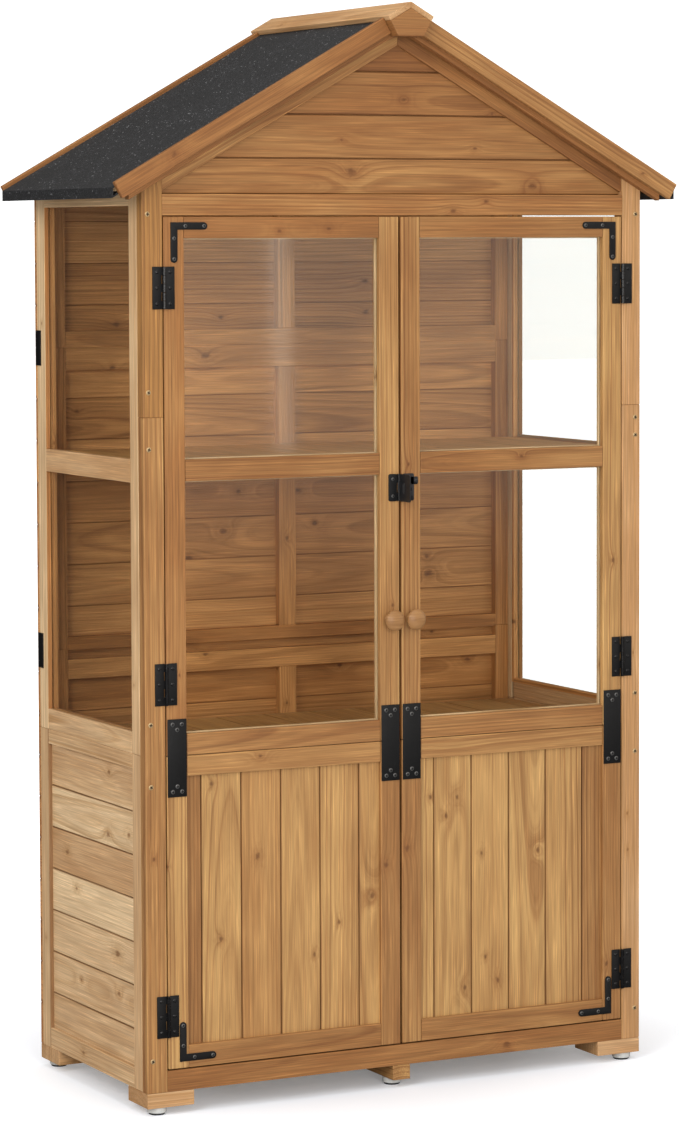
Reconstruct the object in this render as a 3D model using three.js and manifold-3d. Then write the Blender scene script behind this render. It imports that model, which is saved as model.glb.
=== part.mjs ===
// Wooden mini greenhouse: a gabled cabinet on foot blocks, glazed above and boarded below, with two
// hinged doors, three inside levels, a felted roof and a hasp. Sizes are in millimetres.
// X runs to the right, Y to the back and Z up. The front of the posts is y = 0 and the underside of the
// foot blocks is z = 0 until the last lines move the whole cabinet to its origin.
import * as THREE from 'three';
import { mergeVertices } from 'three/addons/utils/BufferGeometryUtils.js';
import Module from 'manifold-3d';

const wasm = await Module();
wasm.setup();

// The cabinet as a whole
const cabinetWidth = 860;
const cabinetDepth = 412;
const roofPitch = THREE.MathUtils.degToRad(29.3);

// Feet: a block at each corner, a beam in the middle, and a glide under each
const footHeight = 23;
const footWidth = 77;
const footDepth = 72;
const beamWidth = 30;
const glideDiameter = 29;
const glideCollarHeight = 9;
const glideBaseDiameter = 25;
const glideBaseHeight = 3;
const glideInsetX = 23;
const glideInsetY = 18;
const beamGlideInset = 33;

// Front posts, the rail under the doors and the lintel over them
const postWidth = 33;
const postThickness = 19;
const lowerPostLength = 1011.5;
const frontRailHeight = 32;
const lintelHeight = 32;

// Doors: a glazed upper frame over a boarded lower panel
const doorThickness = 18;
const doorGap = 2;
const meetingGap = 4;
const stileWidth = 33;
const lowerDoorHeight = 472;
const lowerDoorBottomRail = 34;
const lowerDoorTopRail = 32;
const windowBottomRail = 32;
const windowMidRail = 33;
const windowTopRail = 32;
const lowerWindowHeight = 377;
const upperWindowHeight = 328;
const doorLip = 10;
const doorBoardPitch = 66.6;
const doorFirstBoard = 25.5;

// Side walls: a glazed upper frame over a boarded lower panel
const sideThickness = 18;
const sideFrontStile = 30;
const sideBackStile = 32;
const sideJointRise = 1;
const sidePanelTopRail = 23;
const sidePanelBottomRail = 32;
const sideFirstBoard = 56;
const sideWindowBottomRail = 32;
const sideWindowMidRail = 35;
const sideLowerWindowHeight = 374;
const sideUpperWindowHeight = 377;
const sideLip = 7;

// Boarding, shared by the panels, the back, the gables and the roof
const boardThickness = 8;
const boardPitch = 66;
const boardRecess = 6;
const tongue = 5;
const grooveWidth = 4;
const grooveDepth = 2;

// Panes, held in a rebate behind each frame's lip
const paneThickness = 2;
const rebateWidth = 6;
const paneMargin = 1;

// Back wall: three boarded panels with battens on the inside
const battenThickness = 15;
const battenWidth = 30;
const edgeBattenWidth = 23.7;
const lowerBackHeight = 629;
const middleBackHeight = 476.5;
const backBottomRail = 32;
const backTopRail = 31;
const backTopRailDrop = 17;
const middleBackBottomRail = 19;
const middleBackTopRail = 36;
const upperBackBottomRail = 25.5;

// Floor, shelves and the ledgers that carry them
const shelfThickness = 12;
const shelfBoardPitch = 84;
const shelfFirstBoard = 28.7;
const shelfFrontGap = 2;
const bearerWidth = 20;
const ledgerWidth = 15;
const ledgerHeight = 20;
const lowerShelfDrop = 2;
const midShelfDrop = 4;

// Gable
const eaveRise = 25.5;
const gableFirstBoard = 54;
const rafterSetback = 4;
const rafterHeight = 35;

// Roof: boarded decks, felt, barge boards at both ends and a ridge cap
const eaveOverhang = 53.5;
const frontOverhang = 14;
const deckThickness = 9;
const deckBoardPitch = 72;
const deckRafterHeight = 17.5;
const deckRafterInset = 26.5;
const feltThickness = 2;
const feltWrap = 15;
const bargeHeight = 27;
const bargeThickness = 10;
const bargeProud = 6.5;
const capBoardWidth = 45;
const capThickness = 8.5;
const capOverhang = 16;
const endBlockReach = 32.7;

// Butt hinges: five knuckles on a pin in front of the gap between post and door
const hingeHeight = 63;
const hingeLeafWidth = 18;
const hingeLeafThickness = 1.6;
const knuckleRadius = 2.9;
const hingePinRadius = 1.4;
const knuckleCount = 5;
const upperHingeDrop = 105;
const middleHingeRise = 107.5;
const lowerHingeRise = 80;

// Flat ironwork: joining plates on the doors, corner brackets, and plates on the back edges
const ironThickness = 1.6;
const joiningPlateWidth = 31;
const joiningPlateHeight = 117;
const joiningPlateDrop = 3.5;
const bracketLength = 60;
const bracketWidth = 11;
const upperBracketInsetX = 11;
const upperBracketInsetZ = 8;
const lowerBracketInsetX = 18;
const lowerBracketInsetZ = 10;
const edgePlateWidth = 19;
const edgePlateHeight = 55;
const edgePlateInset = 5;
const plateScrewRadius = 2.2;
const plateScrewInset = 8;

// Knobs, turned in one piece
const knobDiameter = 32;
const knobReach = 25;
const knobFootDiameter = 18;
const knobNeckDiameter = 13;
const knobNeckReach = 8;
const knobRimReach = 16;
const knobRise = 186;

// Hasp: a plate on the left door, a slotted strap on its pin, and a staple on the right door
const haspHeight = 42;
const haspRise = 388.6;
const haspPlateWidth = 17;
const haspCorner = 3;
const haspKnuckleRadius = 2.2;
const haspKnuckleCount = 3;
const haspPinRadius = 1.1;
const haspPinInset = 1.6;
const strapLength = 37;
const slotInner = 13.3;
const slotOuter = 21;
const slotHeight = 17;
const staplePlateThickness = 1.2;
const staplePlateWidth = 20;
const stapleEarWidth = 7;
const stapleEarHeight = 12;
const stapleEarDrop = 5;
const stapleWidth = 3;
const stapleBar = 3;
const stapleReach = 11.6;
const stapleOuterRadius = 7.5;

// Clearances and working allowances
const seatGap = 0.3;
const runningGap = 0.4;
const boreGap = 0.1;
const easing = 1;
const overrun = 2;
const cornerSegments = 2;
const holeSides = 8;
const knuckleSides = 12;
const glideSides = 20;
const knobSides = 20;
const knobCurveSegments = 4;

// Places that several pieces share
const halfWidth = cabinetWidth / 2;
const sideInner = halfWidth - sideThickness;
const postInner = halfWidth - postWidth;
const doorHingeEdge = postInner - doorGap;
const doorMeetingEdge = meetingGap / 2;
const backInner = cabinetDepth - boardThickness;
const battenFace = backInner - battenThickness;

const frontRailTop = footHeight + frontRailHeight;
const doorBottom = frontRailTop + doorGap;
const doorJoint = doorBottom + lowerDoorHeight;
const lowerWindow = [doorJoint + windowBottomRail, doorJoint + windowBottomRail + lowerWindowHeight];
const upperWindow = [lowerWindow[1] + windowMidRail, lowerWindow[1] + windowMidRail + upperWindowHeight];
const doorTop = upperWindow[1] + windowTopRail;
const lintelBottom = doorTop + doorGap;
const lintelTop = lintelBottom + lintelHeight;

const sideJoint = doorJoint + sideJointRise;
const sideLowerStart = sideJoint + sideWindowBottomRail;
const sideLowerWindow = [sideLowerStart, sideLowerStart + sideLowerWindowHeight];
const sideUpperStart = sideLowerWindow[1] + sideWindowMidRail;
const sideUpperWindow = [sideUpperStart, sideUpperStart + sideUpperWindowHeight];
const sideFieldY = [postThickness + sideFrontStile, backInner - sideBackStile];
const lowerShelfTop = sideJoint - lowerShelfDrop;
const midShelfTop = sideUpperWindow[0] - midShelfDrop;
const shelfY = [postThickness - seatGap + shelfFrontGap, battenFace - seatGap];

const lowerBackTop = footHeight + lowerBackHeight;
const middleBackTop = lowerBackTop + middleBackHeight;

// The roof's layers, as distances square to the slope above the line of the wall tops
const wallApex = lintelTop + eaveRise + halfWidth * Math.tan(roofPitch);
const deckUnder = seatGap;
const deckOver = deckUnder + deckThickness;
const feltUnder = deckOver + seatGap;
const feltOver = feltUnder + feltThickness;
const capUnder = feltOver + seatGap;
const capOver = capUnder + capThickness;
const bargeOver = feltOver + bargeProud;
const bargeUnder = bargeOver - bargeHeight;
const eaveX = halfWidth + eaveOverhang;
const capEnd = capBoardWidth - capOver * Math.tan(roofPitch);
const bargeFront = -frontOverhang - bargeThickness;
const bargeBack = cabinetDepth + bargeThickness;
const capFront = bargeFront - capOverhang;
const capBack = bargeBack + capOverhang;

// Height of a roof layer at x
const slopeZ = (layer, x) => wallApex + layer / Math.cos(roofPitch) - Math.abs(x) * Math.tan(roofPitch);

// Point at a distance down the slope from the ridge, on a roof layer
const slopePoint = (along, layer) => [
  along * Math.cos(roofPitch) + layer * Math.sin(roofPitch),
  wallApex - along * Math.sin(roofPitch) + layer * Math.cos(roofPitch),
];
const bargeEnd = (eaveX - bargeOver * Math.sin(roofPitch)) / Math.cos(roofPitch);

// Materials
const wood = new THREE.MeshStandardMaterial({ color: 0xb98a58, roughness: 0.6, metalness: 0 });
const paleWood = new THREE.MeshStandardMaterial({ color: 0xc79c68, roughness: 0.6, metalness: 0 });
const redWood = new THREE.MeshStandardMaterial({ color: 0xa4703f, roughness: 0.65, metalness: 0 });
const turnedWood = new THREE.MeshStandardMaterial({ color: 0xc8a574, roughness: 0.45, metalness: 0 });
const roofFelt = new THREE.MeshStandardMaterial({ color: 0x2c2c2e, roughness: 0.95, metalness: 0 });
const blackIron = new THREE.MeshStandardMaterial({ color: 0x1c1c1e, roughness: 0.5, metalness: 0.4 });
const clearSheet = new THREE.MeshStandardMaterial({
  color: 0xe6ecec,
  roughness: 0.08,
  metalness: 0,
  transparent: true,
  opacity: 0.3,
});

// Boolean work: a closed geometry becomes a solid, and a solid becomes a geometry again
function solidOf(geometry) {
  const bare = geometry.clone();
  bare.deleteAttribute('normal');
  bare.deleteAttribute('uv');
  const merged = mergeVertices(bare);
  const vertProperties = merged.attributes.position.array;
  const triVerts = new Uint32Array(merged.index.array);
  return new wasm.Manifold(new wasm.Mesh({ numProp: 3, vertProperties, triVerts }));
}

function geometryOf(solid) {
  const mesh = solid.getMesh();
  const geometry = new THREE.BufferGeometry();
  geometry.setAttribute('position', new THREE.BufferAttribute(mesh.vertProperties, mesh.numProp));
  geometry.setIndex(new THREE.BufferAttribute(mesh.triVerts, 1));
  geometry.computeVertexNormals();
  return geometry;
}

const fuse = (first, ...others) =>
  geometryOf(others.reduce((sum, other) => sum.add(solidOf(other)), solidOf(first)));
const cut = (first, ...tools) =>
  geometryOf(tools.reduce((rest, tool) => rest.subtract(solidOf(tool)), solidOf(first)));
const common = (first, second) => geometryOf(solidOf(first).intersect(solidOf(second)));

// Basic shapes: a box from three spans, and an outline drawn in the plane square to an axis
function box(xs, ys, zs) {
  const size = [xs, ys, zs].map(([from, to]) => to - from);
  const middle = [xs, ys, zs].map(([from, to]) => (from + to) / 2);
  return new THREE.BoxGeometry(...size).translate(...middle);
}

function outlineOf(points) {
  return new THREE.Shape(points.map(([across, up]) => new THREE.Vector2(across, up)));
}

// An extrusion's own x, y and z directions in the cabinet, for each axis that it can run along
const extrusionAxes = {
  x: new THREE.Matrix4().makeBasis(
    new THREE.Vector3(0, 1, 0),
    new THREE.Vector3(0, 0, 1),
    new THREE.Vector3(1, 0, 0),
  ),
  y: new THREE.Matrix4().makeBasis(
    new THREE.Vector3(1, 0, 0),
    new THREE.Vector3(0, 0, 1),
    new THREE.Vector3(0, -1, 0),
  ),
  z: new THREE.Matrix4(),
};

// Outlines are (y, z) along x, (x, z) along y and (x, y) along z. An eased board has its face edges broken.
function extrude(axis, shape, [from, to], ease = 0) {
  const geometry = new THREE.ExtrudeGeometry(shape, {
    depth: to - from - 2 * ease,
    bevelEnabled: ease > 0,
    bevelThickness: ease,
    bevelSize: ease,
    bevelOffset: -ease,
    bevelSegments: 1,
    curveSegments: cornerSegments,
  });
  geometry.translate(0, 0, ease);
  geometry.applyMatrix4(extrusionAxes[axis]);
  if (axis === 'y') return geometry.translate(0, to, 0);
  return axis === 'x' ? geometry.translate(from, 0, 0) : geometry.translate(0, 0, from);
}

const rectangle = ([left, right], [bottom, top]) =>
  outlineOf([
    [left, bottom],
    [right, bottom],
    [right, top],
    [left, top],
  ]);
const board = (xs, ys, zs) => extrude('y', rectangle(xs, zs), ys, easing);

function roundedRectangle([left, right], [bottom, top], corner) {
  const shape = new THREE.Shape();
  shape.absarc(left + corner, bottom + corner, corner, Math.PI, 1.5 * Math.PI);
  shape.absarc(right - corner, bottom + corner, corner, 1.5 * Math.PI, 2 * Math.PI);
  shape.absarc(right - corner, top - corner, corner, 0, 0.5 * Math.PI);
  shape.absarc(left + corner, top - corner, corner, 0.5 * Math.PI, Math.PI);
  return shape;
}

function circle(x, y, radius, sides) {
  const points = new THREE.EllipseCurve(x, y, radius, radius).getPoints(sides);
  return new THREE.Shape(points.slice(0, -1));
}

const screwHoles = (centres) => centres.map(([x, z]) => circle(x, z, plateScrewRadius, holeSides));

// Boarding: the section of a field of boards, with a V-groove in both faces at each joint
function boardJoints(first, end, pitch) {
  const joints = [];
  for (let at = first; at < end - grooveWidth; at += pitch) joints.push(at);
  return joints;
}

function boardedSection([from, to], joints, near, far) {
  const inward = Math.sign(far - near) * grooveDepth;
  const notches = (face, depth) =>
    joints.map((at) => [
      [at - grooveWidth / 2, face],
      [at, face + depth],
      [at + grooveWidth / 2, face],
    ]);
  const farNotches = notches(far, -inward).flat();
  const nearEdge = [[from, near], ...notches(near, inward).flat(), [to, near]];
  return [...nearEdge, [to, far], ...farNotches.reverse(), [from, far]];
}

const swapped = (points) => points.map(([first, second]) => [second, first]);

// Feet
function footGlide(x, y) {
  const collar = extrude('z', circle(x, y, glideDiameter / 2, glideSides), [-glideCollarHeight, overrun]);
  const base = extrude('z', circle(x, y, glideBaseDiameter / 2, glideSides), [
    -glideCollarHeight - glideBaseHeight,
    0,
  ]);
  return [collar, base];
}

function footBlock([front, back], glideY) {
  const plan = rectangle([halfWidth - footWidth, halfWidth], [front, back]);
  return fuse(extrude('z', plan, [0, footHeight], easing), ...footGlide(halfWidth - glideInsetX, glideY));
}

function footBeam() {
  const plan = rectangle([-beamWidth / 2, beamWidth / 2], [0, cabinetDepth]);
  const glides = [beamGlideInset, cabinetDepth - beamGlideInset].flatMap((y) => footGlide(0, y));
  return fuse(extrude('z', plan, [0, footHeight], easing), ...glides);
}

// Front frame
function lowerPost() {
  return board([postInner, halfWidth], [0, postThickness], [footHeight, footHeight + lowerPostLength]);
}

function upperPost() {
  const foot = footHeight + lowerPostLength;
  const outline = outlineOf([
    [postInner, foot],
    [halfWidth, foot],
    [halfWidth, slopeZ(0, halfWidth)],
    [postInner, slopeZ(0, postInner)],
  ]);
  return extrude('y', outline, [0, postThickness], easing);
}

const frontRail = () => board([-postInner, postInner], [0, postThickness], [footHeight, frontRailTop]);
const lintel = () => board([-postInner, postInner], [0, postThickness], [lintelBottom, lintelTop]);

// A gable wall's outline between two sides, from a level up to a roof layer
function gableOutline(half, bottom, layer) {
  return outlineOf([
    [-half, bottom],
    [half, bottom],
    [half, slopeZ(layer, half)],
    [0, slopeZ(layer, 0)],
    [-half, slopeZ(layer, half)],
  ]);
}

// The two rafters of a gable, as one chevron under the roof
function chevron(half, ys, height) {
  const outline = outlineOf([
    [-half, slopeZ(0, half)],
    [0, slopeZ(0, 0)],
    [half, slopeZ(0, half)],
    [half, slopeZ(-height, half)],
    [0, slopeZ(-height, 0)],
    [-half, slopeZ(-height, half)],
  ]);
  return extrude('y', outline, ys);
}

function frontGable() {
  const ys = [postThickness - boardThickness, postThickness];
  const joints = boardJoints(lintelTop + gableFirstBoard, slopeZ(0, 0), boardPitch);
  const section = swapped(boardedSection([lintelTop, slopeZ(0, 0)], joints, ys[0], ys[1]));
  const boards = extrude('x', outlineOf(section), [-postInner, postInner]);
  const trimmed = common(boards, extrude('y', gableOutline(postInner, lintelTop, 0), ys));
  return fuse(trimmed, chevron(postInner, [rafterSetback, postThickness], rafterHeight));
}

// Side walls, drawn for the right-hand side
function ledger(shelfTop) {
  const top = shelfTop - shelfThickness;
  return box([sideInner - ledgerWidth, sideInner], shelfY, [top - ledgerHeight, top]);
}

function sidePanel() {
  const field = [footHeight + sidePanelBottomRail, sideJoint - sidePanelTopRail];
  const wallY = [postThickness, backInner];
  const frame = cut(
    box([sideInner, halfWidth], wallY, [footHeight, sideJoint]),
    box([sideInner - overrun, halfWidth + overrun], sideFieldY, field),
  );
  const joints = boardJoints(field[0] + sideFirstBoard, field[1], boardPitch);
  const face = halfWidth - boardRecess;
  const section = swapped(
    boardedSection([field[0] - tongue, field[1] + tongue], joints, face - boardThickness, face),
  );
  const span = [sideFieldY[0] - tongue, sideFieldY[1] + tongue];
  const boards = extrude('y', outlineOf(section), span);
  return fuse(frame, boards, ledger(lowerShelfTop));
}

function sideFrame() {
  const outline = outlineOf([
    [sideInner, sideJoint],
    [halfWidth, sideJoint],
    [halfWidth, slopeZ(0, halfWidth)],
    [sideInner, slopeZ(0, sideInner)],
  ]);
  const lipX = [halfWidth - sideLip - overrun, halfWidth + overrun];
  const rebateX = [sideInner - overrun, halfWidth - sideLip];
  const rebateY = [sideFieldY[0] - rebateWidth, sideFieldY[1] + rebateWidth];
  const rebateZ = [sideLowerWindow[0] - rebateWidth, sideUpperWindow[1] + rebateWidth];
  const frame = cut(
    extrude('y', outline, [postThickness, backInner]),
    box(lipX, sideFieldY, sideLowerWindow),
    box(lipX, sideFieldY, sideUpperWindow),
    box(rebateX, rebateY, rebateZ),
  );
  const plateY = [cabinetDepth - edgePlateInset - edgePlateWidth, cabinetDepth - edgePlateInset];
  const plates = [lowerBackTop, middleBackTop].map((seam) => {
    const zs = [seam - edgePlateHeight / 2, seam + edgePlateHeight / 2];
    return box([halfWidth, halfWidth + ironThickness], plateY, zs);
  });
  return fuse(frame, ledger(midShelfTop), ...plates);
}

function sidePane() {
  const outer = halfWidth - sideLip - seatGap;
  const margin = rebateWidth - paneMargin;
  const ys = [sideFieldY[0] - margin, sideFieldY[1] + margin];
  const zs = [sideLowerWindow[0] - margin, sideUpperWindow[1] + margin];
  return box([outer - paneThickness, outer], ys, zs);
}

// Back wall
function backBoards(bottom, top) {
  const joints = boardJoints(bottom + boardPitch, top, boardPitch);
  const section = swapped(boardedSection([bottom, top], joints, backInner, cabinetDepth));
  return extrude('x', outlineOf(section), [-halfWidth, halfWidth]);
}

const battenY = [battenFace, backInner + boardThickness / 2];
const insideHalf = sideInner - seatGap;
const backRail = (bottom, top) => box([-insideHalf, insideHalf], battenY, [bottom, top]);
const centreBatten = (bottom, top) => box([-battenWidth / 2, battenWidth / 2], battenY, [bottom, top]);
const edgeBattens = (bottom, top) => [
  box([-insideHalf, edgeBattenWidth - insideHalf], battenY, [bottom, top]),
  box([insideHalf - edgeBattenWidth, insideHalf], battenY, [bottom, top]),
];

function lowerBack() {
  const railTop = lowerBackTop - backTopRailDrop;
  const railBottom = railTop - backTopRail;
  return fuse(
    backBoards(footHeight, lowerBackTop),
    backRail(footHeight, footHeight + backBottomRail),
    backRail(railBottom, railTop),
    centreBatten(footHeight, railBottom),
    ...edgeBattens(footHeight, lowerBackTop),
  );
}

function middleBack() {
  return fuse(
    backBoards(lowerBackTop, middleBackTop),
    backRail(lowerBackTop, lowerBackTop + middleBackBottomRail),
    backRail(middleBackTop - middleBackTopRail, middleBackTop),
    centreBatten(lowerBackTop, middleBackTop),
    ...edgeBattens(lowerBackTop, middleBackTop),
  );
}

function upperBack() {
  const insideRafter = -rafterHeight / 2;
  const boards = common(
    backBoards(middleBackTop, slopeZ(0, 0)),
    extrude('y', gableOutline(halfWidth, middleBackTop, 0), [backInner, cabinetDepth]),
  );
  return fuse(
    boards,
    backRail(middleBackTop, middleBackTop + upperBackBottomRail),
    centreBatten(middleBackTop, slopeZ(insideRafter, 0)),
    ...edgeBattens(middleBackTop, slopeZ(insideRafter, insideHalf)),
    chevron(insideHalf, battenY, rafterHeight),
  );
}

// Floor and shelves
function shelfBoards(bottom, top) {
  const joints = boardJoints(shelfFirstBoard - insideHalf, insideHalf, shelfBoardPitch);
  const section = boardedSection([-insideHalf, insideHalf], joints, bottom, top);
  return extrude('y', outlineOf(section), shelfY);
}

const shelf = (top) => shelfBoards(top - shelfThickness, top);

function cabinetFloor() {
  const underside = frontRailTop - shelfThickness;
  const bearerZ = [footHeight, underside + shelfThickness / 2];
  const bearers = [-insideHalf, -bearerWidth / 2, insideHalf - bearerWidth].map((left) =>
    box([left, left + bearerWidth], shelfY, bearerZ),
  );
  return fuse(shelf(frontRailTop), ...bearers);
}

// Roof, drawn for the right-hand slope
function roofDeck() {
  const end = eaveX - feltThickness - seatGap;
  const slopeLength = end / Math.cos(roofPitch);
  const joints = boardJoints(deckBoardPitch, slopeLength, deckBoardPitch);
  const ends = [-deckOver, slopeLength + overrun];
  const section = boardedSection(ends, joints, deckUnder, deckOver);
  const boards = section.map(([along, layer]) => slopePoint(along, layer));
  const ys = [-frontOverhang, cabinetDepth];
  const trim = outlineOf([
    [0, slopeZ(deckUnder, 0)],
    [end, slopeZ(deckUnder, end)],
    [end, slopeZ(deckOver, end)],
    [0, slopeZ(deckOver, 0)],
  ]);
  const rafterEnd = eaveX - deckRafterInset;
  const rafterLayers = [deckUnder - deckRafterHeight, (deckUnder + deckOver) / 2];
  const rafter = outlineOf([
    [0, slopeZ(rafterLayers[0], 0)],
    [rafterEnd, slopeZ(rafterLayers[0], rafterEnd)],
    [rafterEnd, slopeZ(rafterLayers[1], rafterEnd)],
    [0, slopeZ(rafterLayers[1], 0)],
  ]);
  const deck = common(extrude('y', outlineOf(boards), ys), extrude('y', trim, ys));
  return fuse(deck, extrude('y', rafter, [-frontOverhang, 0]));
}

function feltSheet() {
  const inner = eaveX - feltThickness;
  const wrapEnd = eaveX - feltWrap;
  const wrapOver = deckUnder - seatGap;
  const wrapUnder = wrapOver - feltThickness;
  const half = [
    [eaveX, slopeZ(feltOver, eaveX)],
    [eaveX, slopeZ(wrapUnder, eaveX)],
    [wrapEnd, slopeZ(wrapUnder, wrapEnd)],
    [wrapEnd, slopeZ(wrapOver, wrapEnd)],
    [inner, slopeZ(wrapOver, inner)],
    [inner, slopeZ(feltUnder, inner)],
  ];
  const otherHalf = half.map(([x, z]) => [-x, z]).reverse();
  const outline = [[0, slopeZ(feltOver, 0)], ...half, [0, slopeZ(feltUnder, 0)], ...otherHalf];
  return extrude('y', outlineOf(outline), [-frontOverhang + seatGap, cabinetDepth - seatGap]);
}

function bargeBoard(ys) {
  const start = capEnd + seatGap;
  const outline = outlineOf([
    slopePoint(start, bargeOver),
    slopePoint(bargeEnd, bargeOver),
    slopePoint(bargeEnd, bargeUnder),
    slopePoint(start, bargeUnder),
  ]);
  return extrude('y', outline, ys, easing);
}

function mirroredOutline(rightHalf) {
  const leftHalf = rightHalf.map(([x, z]) => [-x, z]).reverse();
  return [...rightHalf, ...leftHalf];
}

function ridgeCap() {
  const capOutline = [
    [0, slopeZ(capOver, 0)],
    slopePoint(capEnd, capOver),
    slopePoint(capEnd, capUnder),
    [0, slopeZ(capUnder, 0)],
    [-slopePoint(capEnd, capUnder)[0], slopePoint(capEnd, capUnder)[1]],
    [-slopePoint(capEnd, capOver)[0], slopePoint(capEnd, capOver)[1]],
  ];
  const blockTop = (capUnder + capOver) / 2;
  const blockHalf = [slopePoint(capEnd, blockTop), slopePoint(capEnd, bargeOver - endBlockReach)];
  const blockOutline = outlineOf([[0, slopeZ(blockTop, 0)], ...mirroredOutline(blockHalf)]);
  return fuse(
    extrude('y', outlineOf(capOutline), [capFront, capBack]),
    extrude('y', blockOutline, [capFront, -frontOverhang]),
    extrude('y', blockOutline, [cabinetDepth, capBack]),
  );
}

// Doors, drawn for the right-hand door with the hinge edge on the right
const doorX = [doorMeetingEdge, doorHingeEdge];
const doorY = [0, doorThickness];
const doorFieldX = [doorMeetingEdge + stileWidth, doorHingeEdge - stileWidth];

// A corner bracket's outline: two arms with round ends from a square outer corner
function cornerBracket([x, z], upwards) {
  const shape = new THREE.Shape();
  const half = bracketWidth / 2;
  const reach = bracketLength - half;
  const turn = upwards ? 1 : -1;
  shape.moveTo(x, z);
  shape.lineTo(x, z + turn * reach);
  shape.absarc(x - half, z + turn * reach, half, 0, turn * Math.PI, !upwards);
  shape.lineTo(x - bracketWidth, z + turn * bracketWidth);
  shape.lineTo(x - reach, z + turn * bracketWidth);
  shape.absarc(x - reach, z + turn * half, half, turn * 0.5 * Math.PI, turn * 1.5 * Math.PI, !upwards);
  shape.lineTo(x, z);
  return extrude('y', shape, [-ironThickness, grooveDepth]);
}

function doorWindowFrame() {
  const rebateX = [doorFieldX[0] - rebateWidth, doorFieldX[1] + rebateWidth];
  const rebateZ = [lowerWindow[0] - rebateWidth, upperWindow[1] + rebateWidth];
  const lipY = [-overrun, doorLip + overrun];
  const frame = cut(
    box(doorX, doorY, [doorJoint, doorTop]),
    box(doorFieldX, lipY, lowerWindow),
    box(doorFieldX, lipY, upperWindow),
    box(rebateX, [doorLip, doorThickness + overrun], rebateZ),
  );
  const corner = [doorHingeEdge - upperBracketInsetX, doorTop - upperBracketInsetZ];
  return fuse(frame, cornerBracket(corner, false));
}

function doorPane() {
  const margin = rebateWidth - paneMargin;
  const xs = [doorFieldX[0] - margin, doorFieldX[1] + margin];
  const zs = [lowerWindow[0] - margin, upperWindow[1] + margin];
  return box(xs, [doorLip + seatGap, doorLip + seatGap + paneThickness], zs);
}

// The boards of both doors are counted from the left, so the left-hand panel counts from its hinge stile
function doorPanel(countFromHinge) {
  const fieldZ = [doorBottom + lowerDoorBottomRail, doorJoint - lowerDoorTopRail];
  const frame = cut(
    box(doorX, doorY, [doorBottom, doorJoint]),
    box(doorFieldX, [-overrun, doorThickness + overrun], fieldZ),
  );
  const steps = boardJoints(doorFirstBoard, doorFieldX[1] - doorFieldX[0], doorBoardPitch);
  const joints = countFromHinge
    ? steps.map((step) => doorFieldX[1] - step).reverse()
    : steps.map((step) => doorFieldX[0] + step);
  const section = boardedSection(
    [doorFieldX[0] - tongue, doorFieldX[1] + tongue],
    joints,
    boardRecess,
    boardRecess + boardThickness,
  );
  const boards = extrude('z', outlineOf(section), [fieldZ[0] - tongue, fieldZ[1] + tongue]);
  const corner = [doorHingeEdge - lowerBracketInsetX, doorBottom + lowerBracketInsetZ];
  return fuse(frame, boards, cornerBracket(corner, true));
}

// A joining plate about its own centre, with two screws above and one below on either side of the joint
function joiningPlate() {
  const halfX = joiningPlateWidth / 2;
  const halfZ = joiningPlateHeight / 2;
  const farX = halfX - plateScrewInset;
  const farZ = halfZ - plateScrewInset;
  const nearZ = farZ - plateScrewInset;
  const plate = rectangle([-halfX, halfX], [-halfZ, halfZ]);
  plate.holes = screwHoles([
    [-farX, farZ],
    [farX, farZ],
    [0, nearZ],
    [0, -nearZ],
    [-farX, -farZ],
    [farX, -farZ],
  ]);
  return extrude('y', plate, [-ironThickness, 0]);
}

// Hinge leaves about their pin, drawn with the post on the right
const hingePinY = -knuckleRadius - runningGap;

function knuckles(radius, pinY, spans, boreRadius) {
  return spans.map((span) => {
    const ring = circle(0, pinY, radius, knuckleSides);
    if (boreRadius) ring.holes = [circle(0, pinY, boreRadius, knuckleSides)];
    return extrude('z', ring, span);
  });
}

function knuckleSpans(height, count, odd) {
  const pitch = height / count;
  const spans = [];
  for (let i = odd ? 1 : 0; i < count; i += 2) {
    const start = i * pitch - height / 2;
    spans.push([start + seatGap / 2, start + pitch - seatGap / 2]);
  }
  return spans;
}

function hingeLeaf(onPost) {
  const edge = knuckleRadius + runningGap;
  const xs = onPost ? [edge, hingeLeafWidth] : [-hingeLeafWidth, -edge];
  const middle = (xs[0] + xs[1]) / 2;
  const halfZ = hingeHeight / 2;
  const plate = rectangle(xs, [-halfZ, halfZ]);
  plate.holes = screwHoles([plateScrewInset - halfZ, 0, halfZ - plateScrewInset].map((z) => [middle, z]));
  const spans = knuckleSpans(hingeHeight, knuckleCount, !onPost);
  const tabX = onPost ? [0, edge + overrun] : [-edge - overrun, 0];
  const leafY = [-hingeLeafThickness, 0];
  const tabs = spans.map((span) => box(tabX, leafY, span));
  if (!onPost) {
    const rings = knuckles(knuckleRadius, hingePinY, spans, hingePinRadius + boreGap);
    return fuse(extrude('y', plate, leafY), ...tabs, ...rings);
  }
  const pin = knuckles(hingePinRadius, hingePinY, [[-halfZ + seatGap, halfZ - seatGap]]);
  const barrels = knuckles(knuckleRadius, hingePinY, spans);
  return fuse(extrude('y', plate, leafY), ...tabs, ...barrels, ...pin);
}

// A knob turned about the Y axis, from its foot on the door to its dome
function knob() {
  const profile = new THREE.Path();
  profile.moveTo(0, 0);
  profile.lineTo(knobFootDiameter / 2, 0);
  profile.quadraticCurveTo(knobNeckDiameter / 2, 0, knobNeckDiameter / 2, knobNeckReach);
  profile.quadraticCurveTo(knobNeckDiameter / 2, knobRimReach, knobDiameter / 2, knobRimReach);
  profile.absellipse(0, knobRimReach, knobDiameter / 2, knobReach - knobRimReach, 0, Math.PI / 2);
  const points = profile.getPoints(knobCurveSegments);
  points[points.length - 1].x = 0;
  return new THREE.LatheGeometry(points, knobSides).rotateZ(Math.PI);
}

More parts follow.
